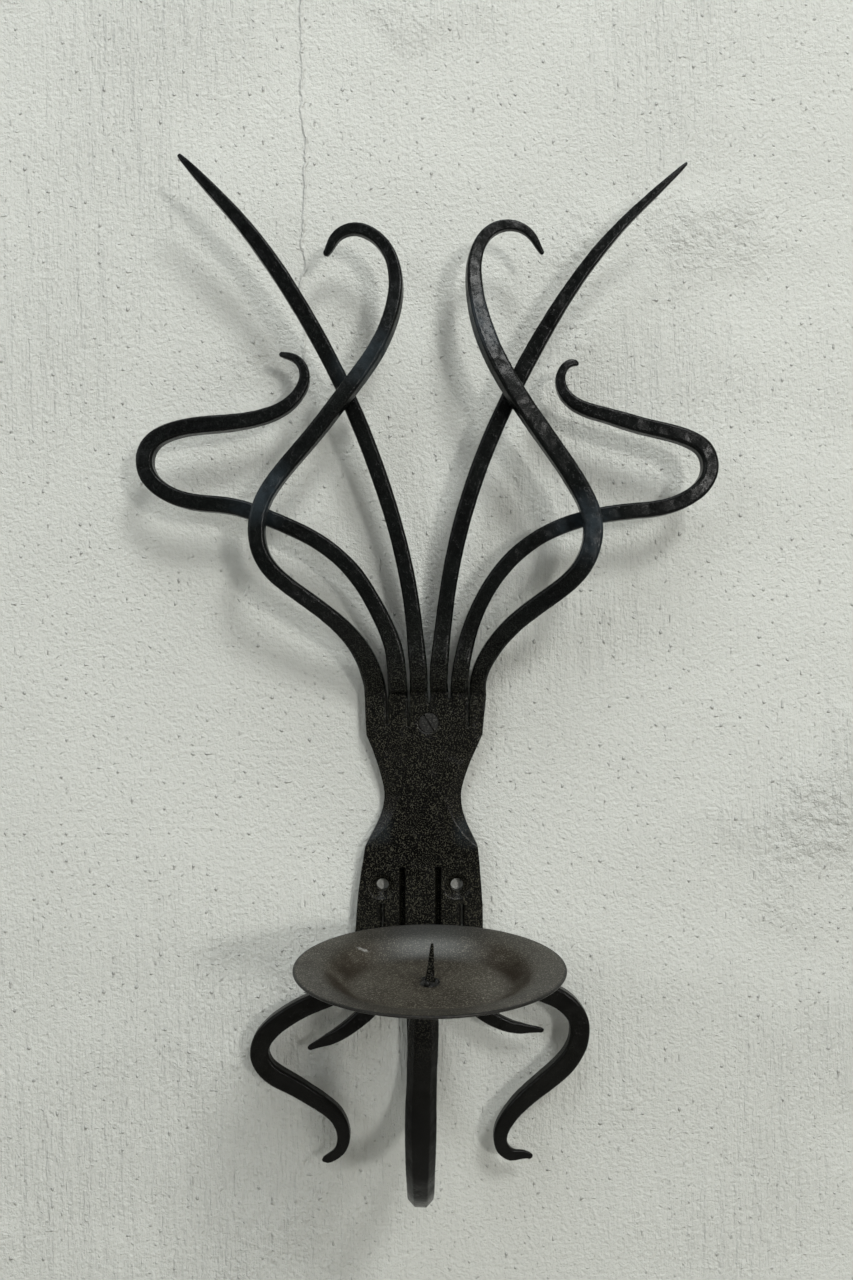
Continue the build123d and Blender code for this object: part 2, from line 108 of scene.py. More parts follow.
class NodeSketch:
    """Lays nodes in a tree and wires them, so that a finish reads from top to bottom."""

    def __init__(self, tree: bpy.types.NodeTree) -> None:
        """Keeps the tree.

        Args:
            tree: The node tree that the nodes go into.
        """
        self.tree = tree
        self.column = 0

    def node(self, kind: str, **settings: object) -> bpy.types.Node:
        """Adds a node and sets its properties.

        Args:
            kind: The node's bl_idname.
            settings: Properties of the node.

        Returns:
            The new node.
        """
        made = self.tree.nodes.new(kind)
        made.location = (220 * self.column, 0)
        self.column += 1
        for name, value in settings.items():
            setattr(made, name, value)
        return made

    def feed(self, node: bpy.types.Node, **inputs: object) -> bpy.types.Node:
        """Sets a node's inputs by name, from sockets or plain values.

        Args:
            node: The node to feed.
            inputs: Sockets or values, named as the inputs are, with _ for a space.

        Returns:
            The same node.
        """
        for name, value in inputs.items():
            self.plug(node.inputs[name.replace("_", " ")], value)
        return node

    def plug(self, socket: Socket, value: object) -> None:
        """Links a socket into an input, or sets the input to a plain value.

        Args:
            socket: The input.
            value: The socket or the value that it gets.
        """
        if isinstance(value, Socket):
            self.tree.links.new(value, socket)
        else:
            socket.default_value = value

    def own_place(self) -> Socket:
        """Returns the piece's own coordinates."""
        return self.node("ShaderNodeTexCoord").outputs["Object"]

    def axes(self, vector: Socket) -> tuple[Socket, Socket, Socket]:
        """Splits a vector.

        Args:
            vector: The vector.

        Returns:
            Its X, Y and Z.
        """
        made = self.feed(self.node("ShaderNodeSeparateXYZ"), Vector=vector)
        return made.outputs["X"], made.outputs["Y"], made.outputs["Z"]

    def mapped(self, vector: Socket, **settings: Place) -> Socket:
        """Moves, turns or scales a vector.

        Args:
            vector: The vector.
            settings: Location, Rotation or Scale.

        Returns:
            The changed vector.
        """
        return self.feed(self.node("ShaderNodeMapping"), Vector=vector, **settings).outputs["Vector"]

    def noise(self, vector: Socket, scale: object, detail: float, rough: float) -> Socket:
        """Adds a noise texture.

        Args:
            vector: Where the noise is read.
            scale: Its scale, as a socket or a number.
            detail: How many finer layers it has.
            rough: How strong each finer layer is.

        Returns:
            The noise, about 0.5 on average.
        """
        made = self.node("ShaderNodeTexNoise")
        self.feed(made, Vector=vector, Scale=scale, Detail=detail, Roughness=rough)
        return made.outputs["Fac"]

    def cells(self, vector: Socket, scale: object, feature: str = "F1") -> Socket:
        """Adds a cell texture.

        Args:
            vector: Where the cells are read.
            scale: Their scale, as a socket or a number.
            feature: The kind of distance.

        Returns:
            The distance to the cell's middle.
        """
        made = self.node("ShaderNodeTexVoronoi", feature=feature)
        self.feed(made, Vector=vector, Scale=scale)
        return made.outputs["Distance"]

    def ramp(
        self, value: object, low: float, high: float, to_low: float = 0.0, to_high: float = 1.0
    ) -> Socket:
        """Moves a value smoothly from one range to another.

        Args:
            value: The value, as a socket or a number.
            low: Where the rise starts.
            high: Where the rise ends.
            to_low: The answer up to low.
            to_high: The answer from high on.

        Returns:
            The moved value.
        """
        made = self.node("ShaderNodeMapRange", interpolation_type="SMOOTHSTEP")
        self.feed(made, Value=value, From_Min=low, From_Max=high, To_Min=to_low, To_Max=to_high)
        return made.outputs["Result"]

    def reckon(self, operation: str, first: object, second: object = 0.0) -> Socket:
        """Adds a Math node.

        Args:
            operation: The node's operation.
            first: The first socket or number.
            second: The second socket or number, where the operation has one.

        Returns:
            The answer.
        """
        made = self.node("ShaderNodeMath", operation=operation)
        self.plug(made.inputs[0], first)
        self.plug(made.inputs[1], second)
        return made.outputs[0]

    def plus(self, first: object, second: object) -> Socket:
        """Returns the sum of two sockets or numbers."""
        return self.reckon("ADD", first, second)

    def times(self, first: object, second: object) -> Socket:
        """Returns the product of two sockets or numbers."""
        return self.reckon("MULTIPLY", first, second)

    def blend(self, amount: object, under: object, over: object, way: str = "MIX") -> Socket:
        """Mixes two colours.

        Args:
            amount: How much of the upper colour shows.
            under: The lower colour, as a socket or a value.
            over: The upper colour, as a socket or a value.
            way: The node's blend type.

        Returns:
            The mixed colour.
        """
        made = self.node("ShaderNodeMix", data_type="RGBA", blend_type=way)
        for index, value in zip(MIX_INPUTS, (amount, under, over)):
            self.plug(made.inputs[index], value)
        return made.outputs[MIX_RESULT]

    def group(self, tree: bpy.types.NodeTree, **inputs: object) -> bpy.types.Node:
        """Places a node group and feeds it.

        Args:
            tree: The group's tree.
            inputs: Sockets or values, named as the inputs are, with _ for a space.

        Returns:
            The group's node.
        """
        made = self.node("ShaderNodeGroup", node_tree=tree)
        return self.feed(made, **inputs)


def open_group(
    name: str, inputs: dict[str, float], outputs: tuple[str, ...]
) -> tuple[bpy.types.NodeTree, NodeSketch]:
    """Starts a shader node group with value sockets.

    Args:
        name: The group's name.
        inputs: Input names and their defaults.
        outputs: Output names.

    Returns:
        The group's tree and a sketch on it.
    """
    tree = bpy.data.node_groups.new(name, "ShaderNodeTree")
    for label, default in inputs.items():
        socket = tree.interface.new_socket(label, in_out="INPUT", socket_type="NodeSocketFloat")
        socket.default_value = default
    for label in outputs:
        tree.interface.new_socket(label, in_out="OUTPUT", socket_type="NodeSocketFloat")
    return tree, NodeSketch(tree)


def forge_scale_group() -> bpy.types.NodeTree:
    """The scale that a forge fire leaves: fine grain, small pits and slow drifts of tone.

    Returns:
        A group with Height, Speckle and Drift outputs.
    """
    tree, sketch = open_group(
        "forge scale", {"Grain Scale": 1400.0, "Pit Scale": 420.0}, ("Height", "Speckle", "Drift")
    )
    grain_share = 0.45
    given = sketch.node("NodeGroupInput")
    place = sketch.own_place()
    fine = sketch.noise(place, given.outputs["Grain Scale"], detail=3.0, rough=0.65)
    speckle = sketch.ramp(fine, low=0.53, high=0.63)
    lumps = sketch.noise(place, given.outputs["Pit Scale"], detail=4.0, rough=0.6)
    pits = sketch.ramp(lumps, low=0.36, high=0.46)
    slow = sketch.noise(place, scale=38.0, detail=3.0, rough=0.55)
    drift = sketch.ramp(slow, low=0.36, high=0.66)
    high = sketch.plus(sketch.times(fine, grain_share), sketch.times(pits, 1.0 - grain_share))
    sketch.feed(sketch.node("NodeGroupOutput"), Height=high, Speckle=speckle, Drift=drift)
    return tree


def rubbed_edge_group() -> bpy.types.NodeTree:
    """Where handling and the hammer have rubbed the high places bright.

    Returns:
        A group with a Mask output, from the piece's own "ridge" attribute.
    """
    tree, sketch = open_group("rubbed edge", {"Start": 0.25, "Full": 0.8, "Break Up": 0.6}, ("Mask",))
    noise_middle = 0.5
    given = sketch.node("NodeGroupInput")
    ridge = sketch.node("ShaderNodeAttribute", attribute_name="ridge").outputs["Fac"]
    patchy = sketch.noise(sketch.own_place(), scale=260.0, detail=4.0, rough=0.7)
    broken = sketch.times(sketch.reckon("SUBTRACT", patchy, noise_middle), given.outputs["Break Up"])
    edge = sketch.ramp(sketch.plus(ridge, broken), given.outputs["Start"], given.outputs["Full"])
    sketch.feed(sketch.node("NodeGroupOutput"), Mask=edge)
    return tree


def hammered_group() -> bpy.types.NodeTree:
    """Shallow planished flats, as cells with soft borders.

    Returns:
        A group with a Height output.
    """
    tree, sketch = open_group("hammered flats", {"Size": 130.0}, ("Height",))
    wobble_reach = 0.012
    given = sketch.node("NodeGroupInput")
    place = sketch.own_place()
    wobble = sketch.node("ShaderNodeTexNoise")
    sketch.feed(wobble, Vector=place, Scale=60.0, Detail=2.0)
    nudge = sketch.node("ShaderNodeVectorMath", operation="SCALE")
    sketch.feed(nudge, Vector=wobble.outputs["Color"], Scale=wobble_reach)
    moved = sketch.node("ShaderNodeVectorMath", operation="ADD")
    sketch.plug(moved.inputs[0], place)
    sketch.plug(moved.inputs[1], nudge.outputs[0])
    bowl = sketch.cells(moved.outputs[0], given.outputs["Size"], "SMOOTH_F1")
    sketch.feed(sketch.node("NodeGroupOutput"), Height=bowl)
    return tree


@dataclass(frozen=True)
class EffectSet:
    """The node groups that the finishes share."""

    scale: bpy.types.NodeTree
    rubbed: bpy.types.NodeTree
    hammered: bpy.types.NodeTree

    @classmethod
    def build(cls) -> "EffectSet":
        """Builds each group once."""
        return cls(forge_scale_group(), rubbed_edge_group(), hammered_group())


# ---------------------------------------------------------------- finishes


@dataclass(frozen=True)
class IronFinish:
    """Iron with forge scale, rubbed bright on its high places."""

    name: str
    dark: Colour
    light: Colour
    speck: Colour
    rubbed: Colour
    smooth: float
    rough: float
    metallic: float
    gleam: float
    grain_scale: float
    pit_scale: float
    grain_height: float
    flat_height: float
    flat_size: float
    wear_start: float
    wear_full: float
    dust: float = 0.8

    def tinted(self, sketch: NodeSketch, colour: Socket) -> Socket:
        """Returns the colour with the piece's own marks and any painted sheen, which here are none."""
        return colour

    def dust_and_shade(self, sketch: NodeSketch) -> Socket | float:
        """Returns how much of the light grain shows, which here is the same all over."""
        return self.dust

    def material(self, effects: EffectSet) -> bpy.types.Material:
        """Builds the finish.

        Args:
            effects: The shared node groups.

        Returns:
            The material.
        """
        made = bpy.data.materials.new(self.name)
        made.use_nodes = True
        sketch = NodeSketch(made.node_tree)
        shader = made.node_tree.nodes["Principled BSDF"]
        scale = sketch.group(effects.scale, Grain_Scale=self.grain_scale, Pit_Scale=self.pit_scale)
        worn = sketch.group(effects.rubbed, Start=self.wear_start, Full=self.wear_full).outputs["Mask"]
        flats = sketch.group(effects.hammered, Size=self.flat_size).outputs["Height"]
        tone = sketch.blend(scale.outputs["Drift"], self.dark, self.light)
        # How much light grain shows, with any painted shade that fades it.
        dust_and_shade_mask = sketch.times(scale.outputs["Speckle"], self.dust_and_shade(sketch))
        flecked = sketch.blend(dust_and_shade_mask, tone, self.speck)
        colour = self.tinted(sketch, sketch.blend(worn, flecked, self.rubbed))
        gloss = sketch.ramp(scale.outputs["Speckle"], 0.0, 1.0, self.rough, self.smooth)
        dents = sketch.node("ShaderNodeBump")
        sketch.feed(dents, Strength=1.0, Distance=self.flat_height, Height=flats)
        grain = sketch.node("ShaderNodeBump")
        sketch.feed(grain, Strength=1.0, Distance=self.grain_height)
        sketch.feed(grain, Height=scale.outputs["Height"], Normal=dents.outputs["Normal"])
        sketch.feed(shader, Base_Color=colour, Roughness=gloss, Normal=grain.outputs["Normal"])
        sketch.feed(shader, Metallic=self.metallic, Specular_IOR_Level=self.gleam)
        return made


@dataclass(frozen=True)
class ForgedFinish(IronFinish):
    """Waxed iron: tinted bluish on the tines as a painted sheen, with fewer light specks there; light specks
    on the bar; below it the specks all but go, a painted shade; painted sheen on four bends and two facets.
    """

    # Painted sheen: the tines are tinted blue, standing in for bluish light that gleams off them.
    sheen_tint: Colour = (0.80, 1.02, 1.22, 1.0)
    sheen_tint_below: float = 0.02
    sheen_tint_above: float = 0.06
    # Painted sheen: bluish patches on four bends and on two struck facets of the neck.
    bend_sheen: Colour = (0.024, 0.033, 0.040, 1.0)
    bend_sheen_spots: tuple[Place, ...] = (
        (-0.074, -0.030, 0.190),
        (-0.023, -0.024, 0.251),
        (0.031, -0.024, 0.268),
        (0.078, -0.030, 0.172),
    )
    bend_sheen_reach: float = 0.022
    bend_sheen_most: float = 0.75
    struck: tuple[Place, ...] = ((-0.0215, -0.0065, 0.0285), (0.0245, -0.0065, 0.0270))
    facet_sheen_reach: float = 0.0115
    facet_sheen_most: float = 0.34
    full_share: float = 0.3
    foot: float = 0.0
    top: float = 0.09
    bar_margin: float = 0.004
    foot_fade: float = 0.030
    top_fade: float = 0.050
    # Painted shade: below the bar the light specks all but go, so the strips under the pan read darker.
    shade_below: float = 0.05
    dust_above: float = 0.16

    def dust_and_shade(self, sketch: NodeSketch) -> Socket:
        """Fades the light grain above the bar, and below it as a painted shade.

        Args:
            sketch: The material's sketch.

        Returns:
            How much of the grain shows.
        """
        height = sketch.axes(sketch.own_place())[2]
        low, high = self.foot + self.bar_margin, self.top - self.bar_margin
        # Painted shade below the bar.
        below = sketch.ramp(height, self.foot - self.foot_fade, low, self.shade_below, 1.0)
        above = sketch.ramp(height, high, self.top + self.top_fade, 1.0, self.dust_above)
        return sketch.times(below, above)

    def tinted(self, sketch: NodeSketch, colour: Socket) -> Socket:
        """Tints the colour bluish above the bar and lays bluish patches on the bends and the struck facets,
        all painted sheen.

        Args:
            sketch: The material's sketch.
            colour: The iron's colour.

        Returns:
            The colour of the forging.
        """
        here = sketch.own_place()
        height = sketch.axes(here)[2]
        # Painted sheen: bluish tint above the bar.
        raised = sketch.ramp(height, self.top - self.sheen_tint_below, self.top + self.sheen_tint_above)
        sheen_tinted = sketch.blend(raised, colour, self.sheen_tint, "MULTIPLY")
        # Painted sheen on the bends and the struck facets.
        near = 0.0
        for spots, reach, most in (
            (self.bend_sheen_spots, self.bend_sheen_reach, self.bend_sheen_most),
            (self.struck, self.facet_sheen_reach, self.facet_sheen_most),
        ):
            for spot in spots:
                gap = sketch.node("ShaderNodeVectorMath", operation="DISTANCE")
                sketch.plug(gap.inputs[0], here)
                sketch.plug(gap.inputs[1], spot)
                shine = sketch.ramp(gap.outputs["Value"], self.full_share * reach, reach, most, 0.0)
                near = sketch.reckon("MAXIMUM", near, shine)
        mottle = sketch.noise(here, scale=180.0, detail=3.0, rough=0.6)
        patchy = sketch.ramp(mottle, low=0.30, high=0.62, to_low=0.35)
        return sketch.blend(sketch.times(near, patchy), sheen_tinted, self.bend_sheen)


@dataclass(frozen=True)
class PanFinish(IronFinish):
    """Iron sheet: browned at the well's sides, a painted sheen at its rear, a darker rim with painted shade
    along the edge, and bright scuffs.

    Each band says where an effect starts and where it is full, in metres from the pan's middle.
    """

    centre: Place = (0.0, 0.0, 0.0)
    browned: Colour = (0.020, 0.012, 0.006, 1.0)
    browning: float = 0.8
    well_starts: Band = (0.0255, 0.0345)
    well_ends: Band = (0.0375, 0.0455)
    sides: Band = (0.014, 0.030)
    # Painted sheen: a pale grey patch on the rear of the well, standing in for light that it reflects.
    painted_sheen: Colour = (0.165, 0.175, 0.175, 1.0)
    sheen_strength: float = 0.5
    rear: Band = (0.012, 0.036)
    middle: Band = (0.004, 0.034)
    # The rim is made darker, and the sheet's outer edge darker still, a painted shade along it.
    dark_rim_and_edge_shade: Colour = (0.006, 0.006, 0.006, 1.0)
    flare: Band = (0.0395, 0.0465)
    flare_darkening: float = 0.40
    edge: Band = (0.0536, 0.0542)
    edge_shade: float = 0.9
    scuff: Colour = (0.36, 0.36, 0.34, 1.0)
    scuff_turn: float = 0.5
    scuff_stretch: float = 0.35

    def tinted(self, sketch: NodeSketch, colour: Socket) -> Socket:
        """Browns the well's sides, paints a sheen on its rear, darkens the rim, paints shade along the edge
        and lays on the scuffs.

        Args:
            sketch: The material's sketch.
            colour: The sheet's colour.

        Returns:
            The colour of the pan.
        """
        place = sketch.own_place()
        across, deep, _ = sketch.axes(sketch.mapped(place, Location=tuple(-c for c in self.centre)))
        flat = sketch.feed(sketch.node("ShaderNodeCombineXYZ"), X=across, Y=deep)
        length = sketch.node("ShaderNodeVectorMath", operation="LENGTH")
        sketch.plug(length.inputs[0], flat.outputs[0])
        radius = length.outputs["Value"]
        aside = sketch.reckon("ABSOLUTE", across)
        patchy = sketch.ramp(sketch.noise(place, scale=70.0, detail=4.0, rough=0.6), low=0.25, high=0.60)
        inner = sketch.ramp(radius, *self.well_starts)
        outer = sketch.ramp(radius, *self.well_ends, 1.0, 0.0)
        sideways = sketch.ramp(aside, *self.sides)
        ring = sketch.times(sketch.times(inner, outer), sketch.times(patchy, sideways))
        browned = sketch.blend(sketch.times(ring, self.browning), colour, self.browned)
        # Painted sheen on the rear of the well.
        narrow = sketch.ramp(aside, *self.middle, 1.0, 0.0)
        rear = sketch.times(sketch.ramp(deep, *self.rear), narrow)
        sheen = sketch.times(rear, sketch.times(inner, self.sheen_strength))
        painted_sheen = sketch.blend(sheen, browned, self.painted_sheen)
        # Darker rim, and painted shade along the edge.
        flare = sketch.ramp(radius, *self.flare, 0.0, self.flare_darkening)
        edge = sketch.ramp(radius, *self.edge, 0.0, self.edge_shade)
        rimmed = sketch.blend(sketch.reckon("MAXIMUM", flare, edge), painted_sheen, self.dark_rim_and_edge_shade)
        streaks = sketch.mapped(
            place, Rotation=(0.0, 0.0, self.scuff_turn), Scale=(self.scuff_stretch, 1.0, 1.0)
        )
        marks = sketch.ramp(sketch.noise(streaks, scale=95.0, detail=5.0, rough=0.6), low=0.69, high=0.75)
        return sketch.blend(marks, rimmed, self.scuff)


WAXED_IRON = ForgedFinish(
    name="waxed black iron",
    dark=(0.0010, 0.0010, 0.0009, 1.0),
    light=(0.0026, 0.0027, 0.0021, 1.0),
    speck=(0.0520, 0.0500, 0.0370, 1.0),
    rubbed=(0.013, 0.014, 0.016, 1.0),
    smooth=0.20,
    rough=0.27,
    metallic=0.0,
    gleam=0.14,
    grain_scale=1700.0,
    pit_scale=420.0,
    grain_height=0.00010,
    flat_height=0.0007,
    flat_size=120.0,
    wear_start=0.60,
    wear_full=1.6,
)
PAN_SHEET = PanFinish(
    name="olive grey pan sheet",
    dark=(0.033, 0.027, 0.019, 1.0),
    light=(0.068, 0.061, 0.047, 1.0),
    speck=(0.300, 0.278, 0.224, 1.0),
    rubbed=(0.240, 0.235, 0.220, 1.0),
    smooth=0.32,
    rough=0.46,
    metallic=0.50,
    gleam=0.4,
    grain_scale=1600.0,
    pit_scale=500.0,
    grain_height=0.00007,
    flat_height=0.0004,
    flat_size=80.0,
    wear_start=0.80,
    wear_full=1.8,
)
WELD_METAL = IronFinish(
    name="blackened weld",
    dark=(0.002, 0.002, 0.002, 1.0),
    light=(0.005, 0.005, 0.004, 1.0),
    speck=(0.024, 0.023, 0.020, 1.0),
    rubbed=(0.045, 0.044, 0.041, 1.0),
    smooth=0.24,
    rough=0.42,
    metallic=0.2,
    gleam=0.25,
    grain_scale=1500.0,
    pit_scale=900.0,
    grain_height=0.00012,
    flat_height=0.0002,
    flat_size=300.0,
    wear_start=0.55,
    wear_full=1.3,
)
BLACK_SCREW = IronFinish(
    name="blacked screw",
    dark=(0.006, 0.006, 0.0055, 1.0),
    light=(0.016, 0.016, 0.015, 1.0),
    speck=(0.070, 0.070, 0.064, 1.0),
    rubbed=(0.120, 0.118, 0.112, 1.0),
    smooth=0.32,
    rough=0.50,
    metallic=0.40,
    gleam=0.4,
    grain_scale=1100.0,
    pit_scale=900.0,
    grain_height=0.00012,
    flat_height=0.0001,
    flat_size=500.0,
    wear_start=0.5,
    wear_full=1.2,
)


# ---------------------------------------------------------------- mesh helpers


def to_object(bm: bmesh.types.BMesh, name: str) -> bpy.types.Object:
    """Turns a bmesh into a linked object at the origin.

    Args:
        bm: The bmesh, which is freed.
        name: The object's and the mesh's name.

    Returns:
        The object.
    """
    mesh = bpy.data.meshes.new(name)
    bm.to_mesh(mesh)
    bm.free()
    made = bpy.data.objects.new(name, mesh)
    bpy.context.scene.collection.objects.link(made)
    return made


def applied(obj: bpy.types.Object) -> None:
    """Applies an object's modifiers to its mesh.

    Args:
        obj: The object, whose old mesh is dropped.
    """
    bpy.context.view_layer.update()
    graph = bpy.context.evaluated_depsgraph_get()
    done = bpy.data.meshes.new_from_object(obj.evaluated_get(graph), depsgraph=graph)
    old = obj.data
    obj.modifiers.clear()
    obj.data = done
    bpy.data.meshes.remove(old)
    done.name = obj.name


def reskin(obj: bpy.types.Object, voxel: float) -> None:
    """Adds a remesh into small even faces.

    Args:
        obj: The piece.
        voxel: The size of the faces.
    """
    skin = obj.modifiers.new("skin", "REMESH")
    skin.mode = "VOXEL"
    skin.voxel_size = voxel
    skin.use_smooth_shade = True


def spun(corners: list[Vector], steps: int) -> bmesh.types.BMesh:
    """Spins a profile that starts and ends on the Z axis all the way round it.

    Args:
        corners: The profile's corners, with Y at 0.
        steps: How many steps the turn has.

    Returns:
        The closed shape, its faces pointing outwards.
    """
    bm = bmesh.new()
    points = [bm.verts.new(corner) for corner in corners]
    line = [bm.edges.new(pair) for pair in zip(points, points[1:])]
    bmesh.ops.spin(
        bm,
        geom=[*points, *line],
        cent=(0.0, 0.0, 0.0),
        axis=(0.0, 0.0, 1.0),
        angle=math.tau,
        steps=steps,
        use_merge=True,
    )
    bmesh.ops.remove_doubles(bm, verts=bm.verts, dist=MERGE_GAP)
    bmesh.ops.recalc_face_normals(bm, faces=bm.faces)
    return bm


def read_vectors(source: bpy.types.bpy_prop_collection, field: str) -> np.ndarray:
    """Reads one vector for each point of a mesh.

    Args:
        source: The mesh's vertices or their normals.
        field: The vector's name there.

    Returns:
        The vectors, one to a row.
    """
    values = np.zeros(len(source) * 3)
    source.foreach_get(field, values)
    return values.reshape(-1, 3)


def move_points(mesh: bpy.types.Mesh, places: np.ndarray) -> None:
    """Moves a mesh's points.

    Args:
        mesh: The mesh.
        places: The new places, one to a row.
    """
    mesh.vertices.foreach_set("co", places.ravel())
    mesh.update()


def mark_ridges(obj: bpy.types.Object, reach: int, full: float) -> None:
    """Writes a "ridge" attribute: 0 on flats and in hollows, towards 1 on outward edges.

    Args:
        obj: The piece.
        reach: How many edges far the ridges are spread.
        full: The curvature, in 1/m, that counts as 1.
    """
    mesh = obj.data
    count = len(mesh.vertices)
    places = read_vectors(mesh.vertices, "co")
    normals = read_vectors(mesh.vertex_normals, "vector")
    ends = np.zeros(len(mesh.edges) * 2, dtype=np.int64)
    mesh.edges.foreach_get("vertices", ends)
    first, second = ends.reshape(-1, 2).T
    along = places[first] - places[second]
    gap = np.maximum((along**2).sum(1), LEAST_SQUARE)
    bend = ((normals[first] - normals[second]) * along).sum(1) / gap
    links = np.bincount(first, minlength=count) + np.bincount(second, minlength=count)
    links = np.maximum(links, 1)
    ridge = (np.bincount(first, bend, count) + np.bincount(second, bend, count)) / links
    for _ in range(reach):
        spread = np.bincount(first, ridge[second], count) + np.bincount(second, ridge[first], count)
        ridge = 0.5 * ridge + 0.5 * spread / links
    layer = mesh.attributes.new("ridge", "FLOAT", "POINT")
    layer.data.foreach_set("value", np.clip(ridge / full, 0.0, MOST_RIDGE).astype(np.float32))


def displace(obj: bpy.types.Object, texture: bpy.types.Texture, strength: float) -> None:
    """Adds a displacement along the normals, by a texture on the piece's own coordinates.

    Args:
        obj: The piece.
        texture: The texture.
        strength: How far its white would push from black, in metres. Its still tone doesn't push at all.
    """
    push = obj.modifiers.new(texture.name, "DISPLACE")
    push.texture = texture
    push.texture_coords = "LOCAL"
    push.strength = strength
    push.mid_level = STILL_TONE


def soften(obj: bpy.types.Object, factor: float, times: int) -> None:
    """Adds a smoothing pass.

    Args:
        obj: The piece.
        factor: How far each point moves towards its neighbours' middle.
        times: How often that is done.
    """
    ease = obj.modifiers.new("ease", "SMOOTH")
    ease.factor = factor
    ease.iterations = times


# ---------------------------------------------------------------- the forging


@dataclass
class HammerWork:
    """How the hammer leaves a forged bar: dents, waves along its edges, and softened corners."""

    voxel: float = 0.46 * MM
    ease: float = 0.5
    ease_times: int = 2
    overlap: float = 14.0 * MM
    dent_size: float = 8.0 * MM
    dent_depth: float = 0.16 * MM
    wave_size: float = 24.0 * MM
    wave_depth: float = 0.30 * MM
    pit_size: float = 1.6 * MM
    pit_depth: float = 0.10 * MM
    ridge_reach: int = 2
    ridge_full: float = 900.0
    shelf_below: float = 1.5 * MM
    shelf_above: float = 4.0 * MM
    shelf_depth: float = 1.2 * MM
    shelf_facing: float = -0.55

    def textures(self) -> tuple[tuple[bpy.types.Texture, float], ...]:
        """Builds the displacement textures.

        Returns:
            Each texture with the depth that it is laid on with.
        """
        dents = bpy.data.textures.new("dents", "VORONOI")
        dents.noise_scale = self.dent_size
        dents.distance_metric = "DISTANCE"
        waves = bpy.data.textures.new("waves", "CLOUDS")
        waves.noise_scale = self.wave_size
        waves.noise_depth = 1
        pits = bpy.data.textures.new("pits", "CLOUDS")
        pits.noise_scale = self.pit_size
        pits.noise_depth = 2
        return ((dents, self.dent_depth), (waves, self.wave_depth), (pits, self.pit_depth))


@dataclass(frozen=True)
class Facet:
    """A hammered facet on a front edge of the neck, from the waist's face to the shoulder's edge."""

    waist: tuple[float, float]
    shoulder: tuple[float, float]
    edge: tuple[float, float]
    edge_depth: float
    bulge: float
    past_shoulder: float = 1.15

    def surface(self, across: np.ndarray, up: np.ndarray, face: float) -> np.ndarray:
        """How far out the facet lies at each place, and far in front of the bar where it doesn't reach.

        Args:
            across: Places across the bar.
            up: Heights.
            face: How far out the bar's front is.

        Returns:
            The facet's place along Y.
        """
        start = np.array(self.waist) * MM
        chord = np.array(self.shoulder) * MM - start
        length = float(np.hypot(*chord))
        chord = chord / length
        off = np.array(self.edge) * MM - start
        square = off - chord * float(off @ chord)
        width = float(np.hypot(*square))
        square = square / width
        along = ((across - start[0]) * chord[0] + (up - start[1]) * chord[1]) / length
        beside = ((across - start[0]) * square[0] + (up - start[1]) * square[1]) / width
        bowed = self.bulge * MM * 4.0 * along * (1.0 - along)
        struck = face + self.edge_depth * MM * beside + bowed
        reach = (up - start[1]) * np.sign(chord[1])
        return np.where((reach > 0.0) & (along < self.past_shoulder), struck, -BEYOND)


@dataclass(frozen=True)
class Dent:
    """A round dent in the front face, steeper on its lower side."""

    place: tuple[float, float]
    radius: float
    depth: float
    squash: float = 1.0
    lower_steepness: float = 1.8
    fall: float = 1.5

    def depth_at(self, across: np.ndarray, up: np.ndarray) -> np.ndarray:
        """Works out the dent's depth.

        Args:
            across: Places across the bar.
            up: Heights.

        Returns:
            How deep the dent is at each place.
        """
        sideways = (across - self.place[0] * MM) / (self.radius * MM)
        upwards = (up - self.place[1] * MM) / (self.radius * self.squash * MM)
        upwards = np.where(upwards < 0, self.lower_steepness * upwards, upwards)
        return self.depth * MM * np.exp(-(sideways**2 + upwards**2) ** self.fall)


FACETS = (
    Facet(waist=(-9.5, 44.0), shoulder=(-26.8, 19.2), edge=(-17.5, 44.0), edge_depth=4.2, bulge=1.7),
    Facet(waist=(12.4, 44.0), shoulder=(28.4, 19.2), edge=(20.4, 44.0), edge_depth=4.2, bulge=1.7),
    Facet(waist=(-9.5, 44.0), shoulder=(-25.8, 74.5), edge=(-17.5, 44.0), edge_depth=3.6, bulge=0.6),
    Facet(waist=(12.4, 44.0), shoulder=(30.2, 73.0), edge=(20.4, 44.0), edge_depth=3.6, bulge=1.0),
)
DENTS = (
    Dent(place=(18.6, 63.0), radius=4.6, depth=0.55, squash=0.9),
    Dent(place=(-14.0, 66.0), radius=6.0, depth=0.35),
    Dent(place=(9.0, 58.0), radius=5.0, depth=0.25),
    Dent(place=(-2.5, 30.0), radius=7.0, depth=0.3),
    Dent(place=(4.0, 12.0), radius=6.5, depth=0.28),
)


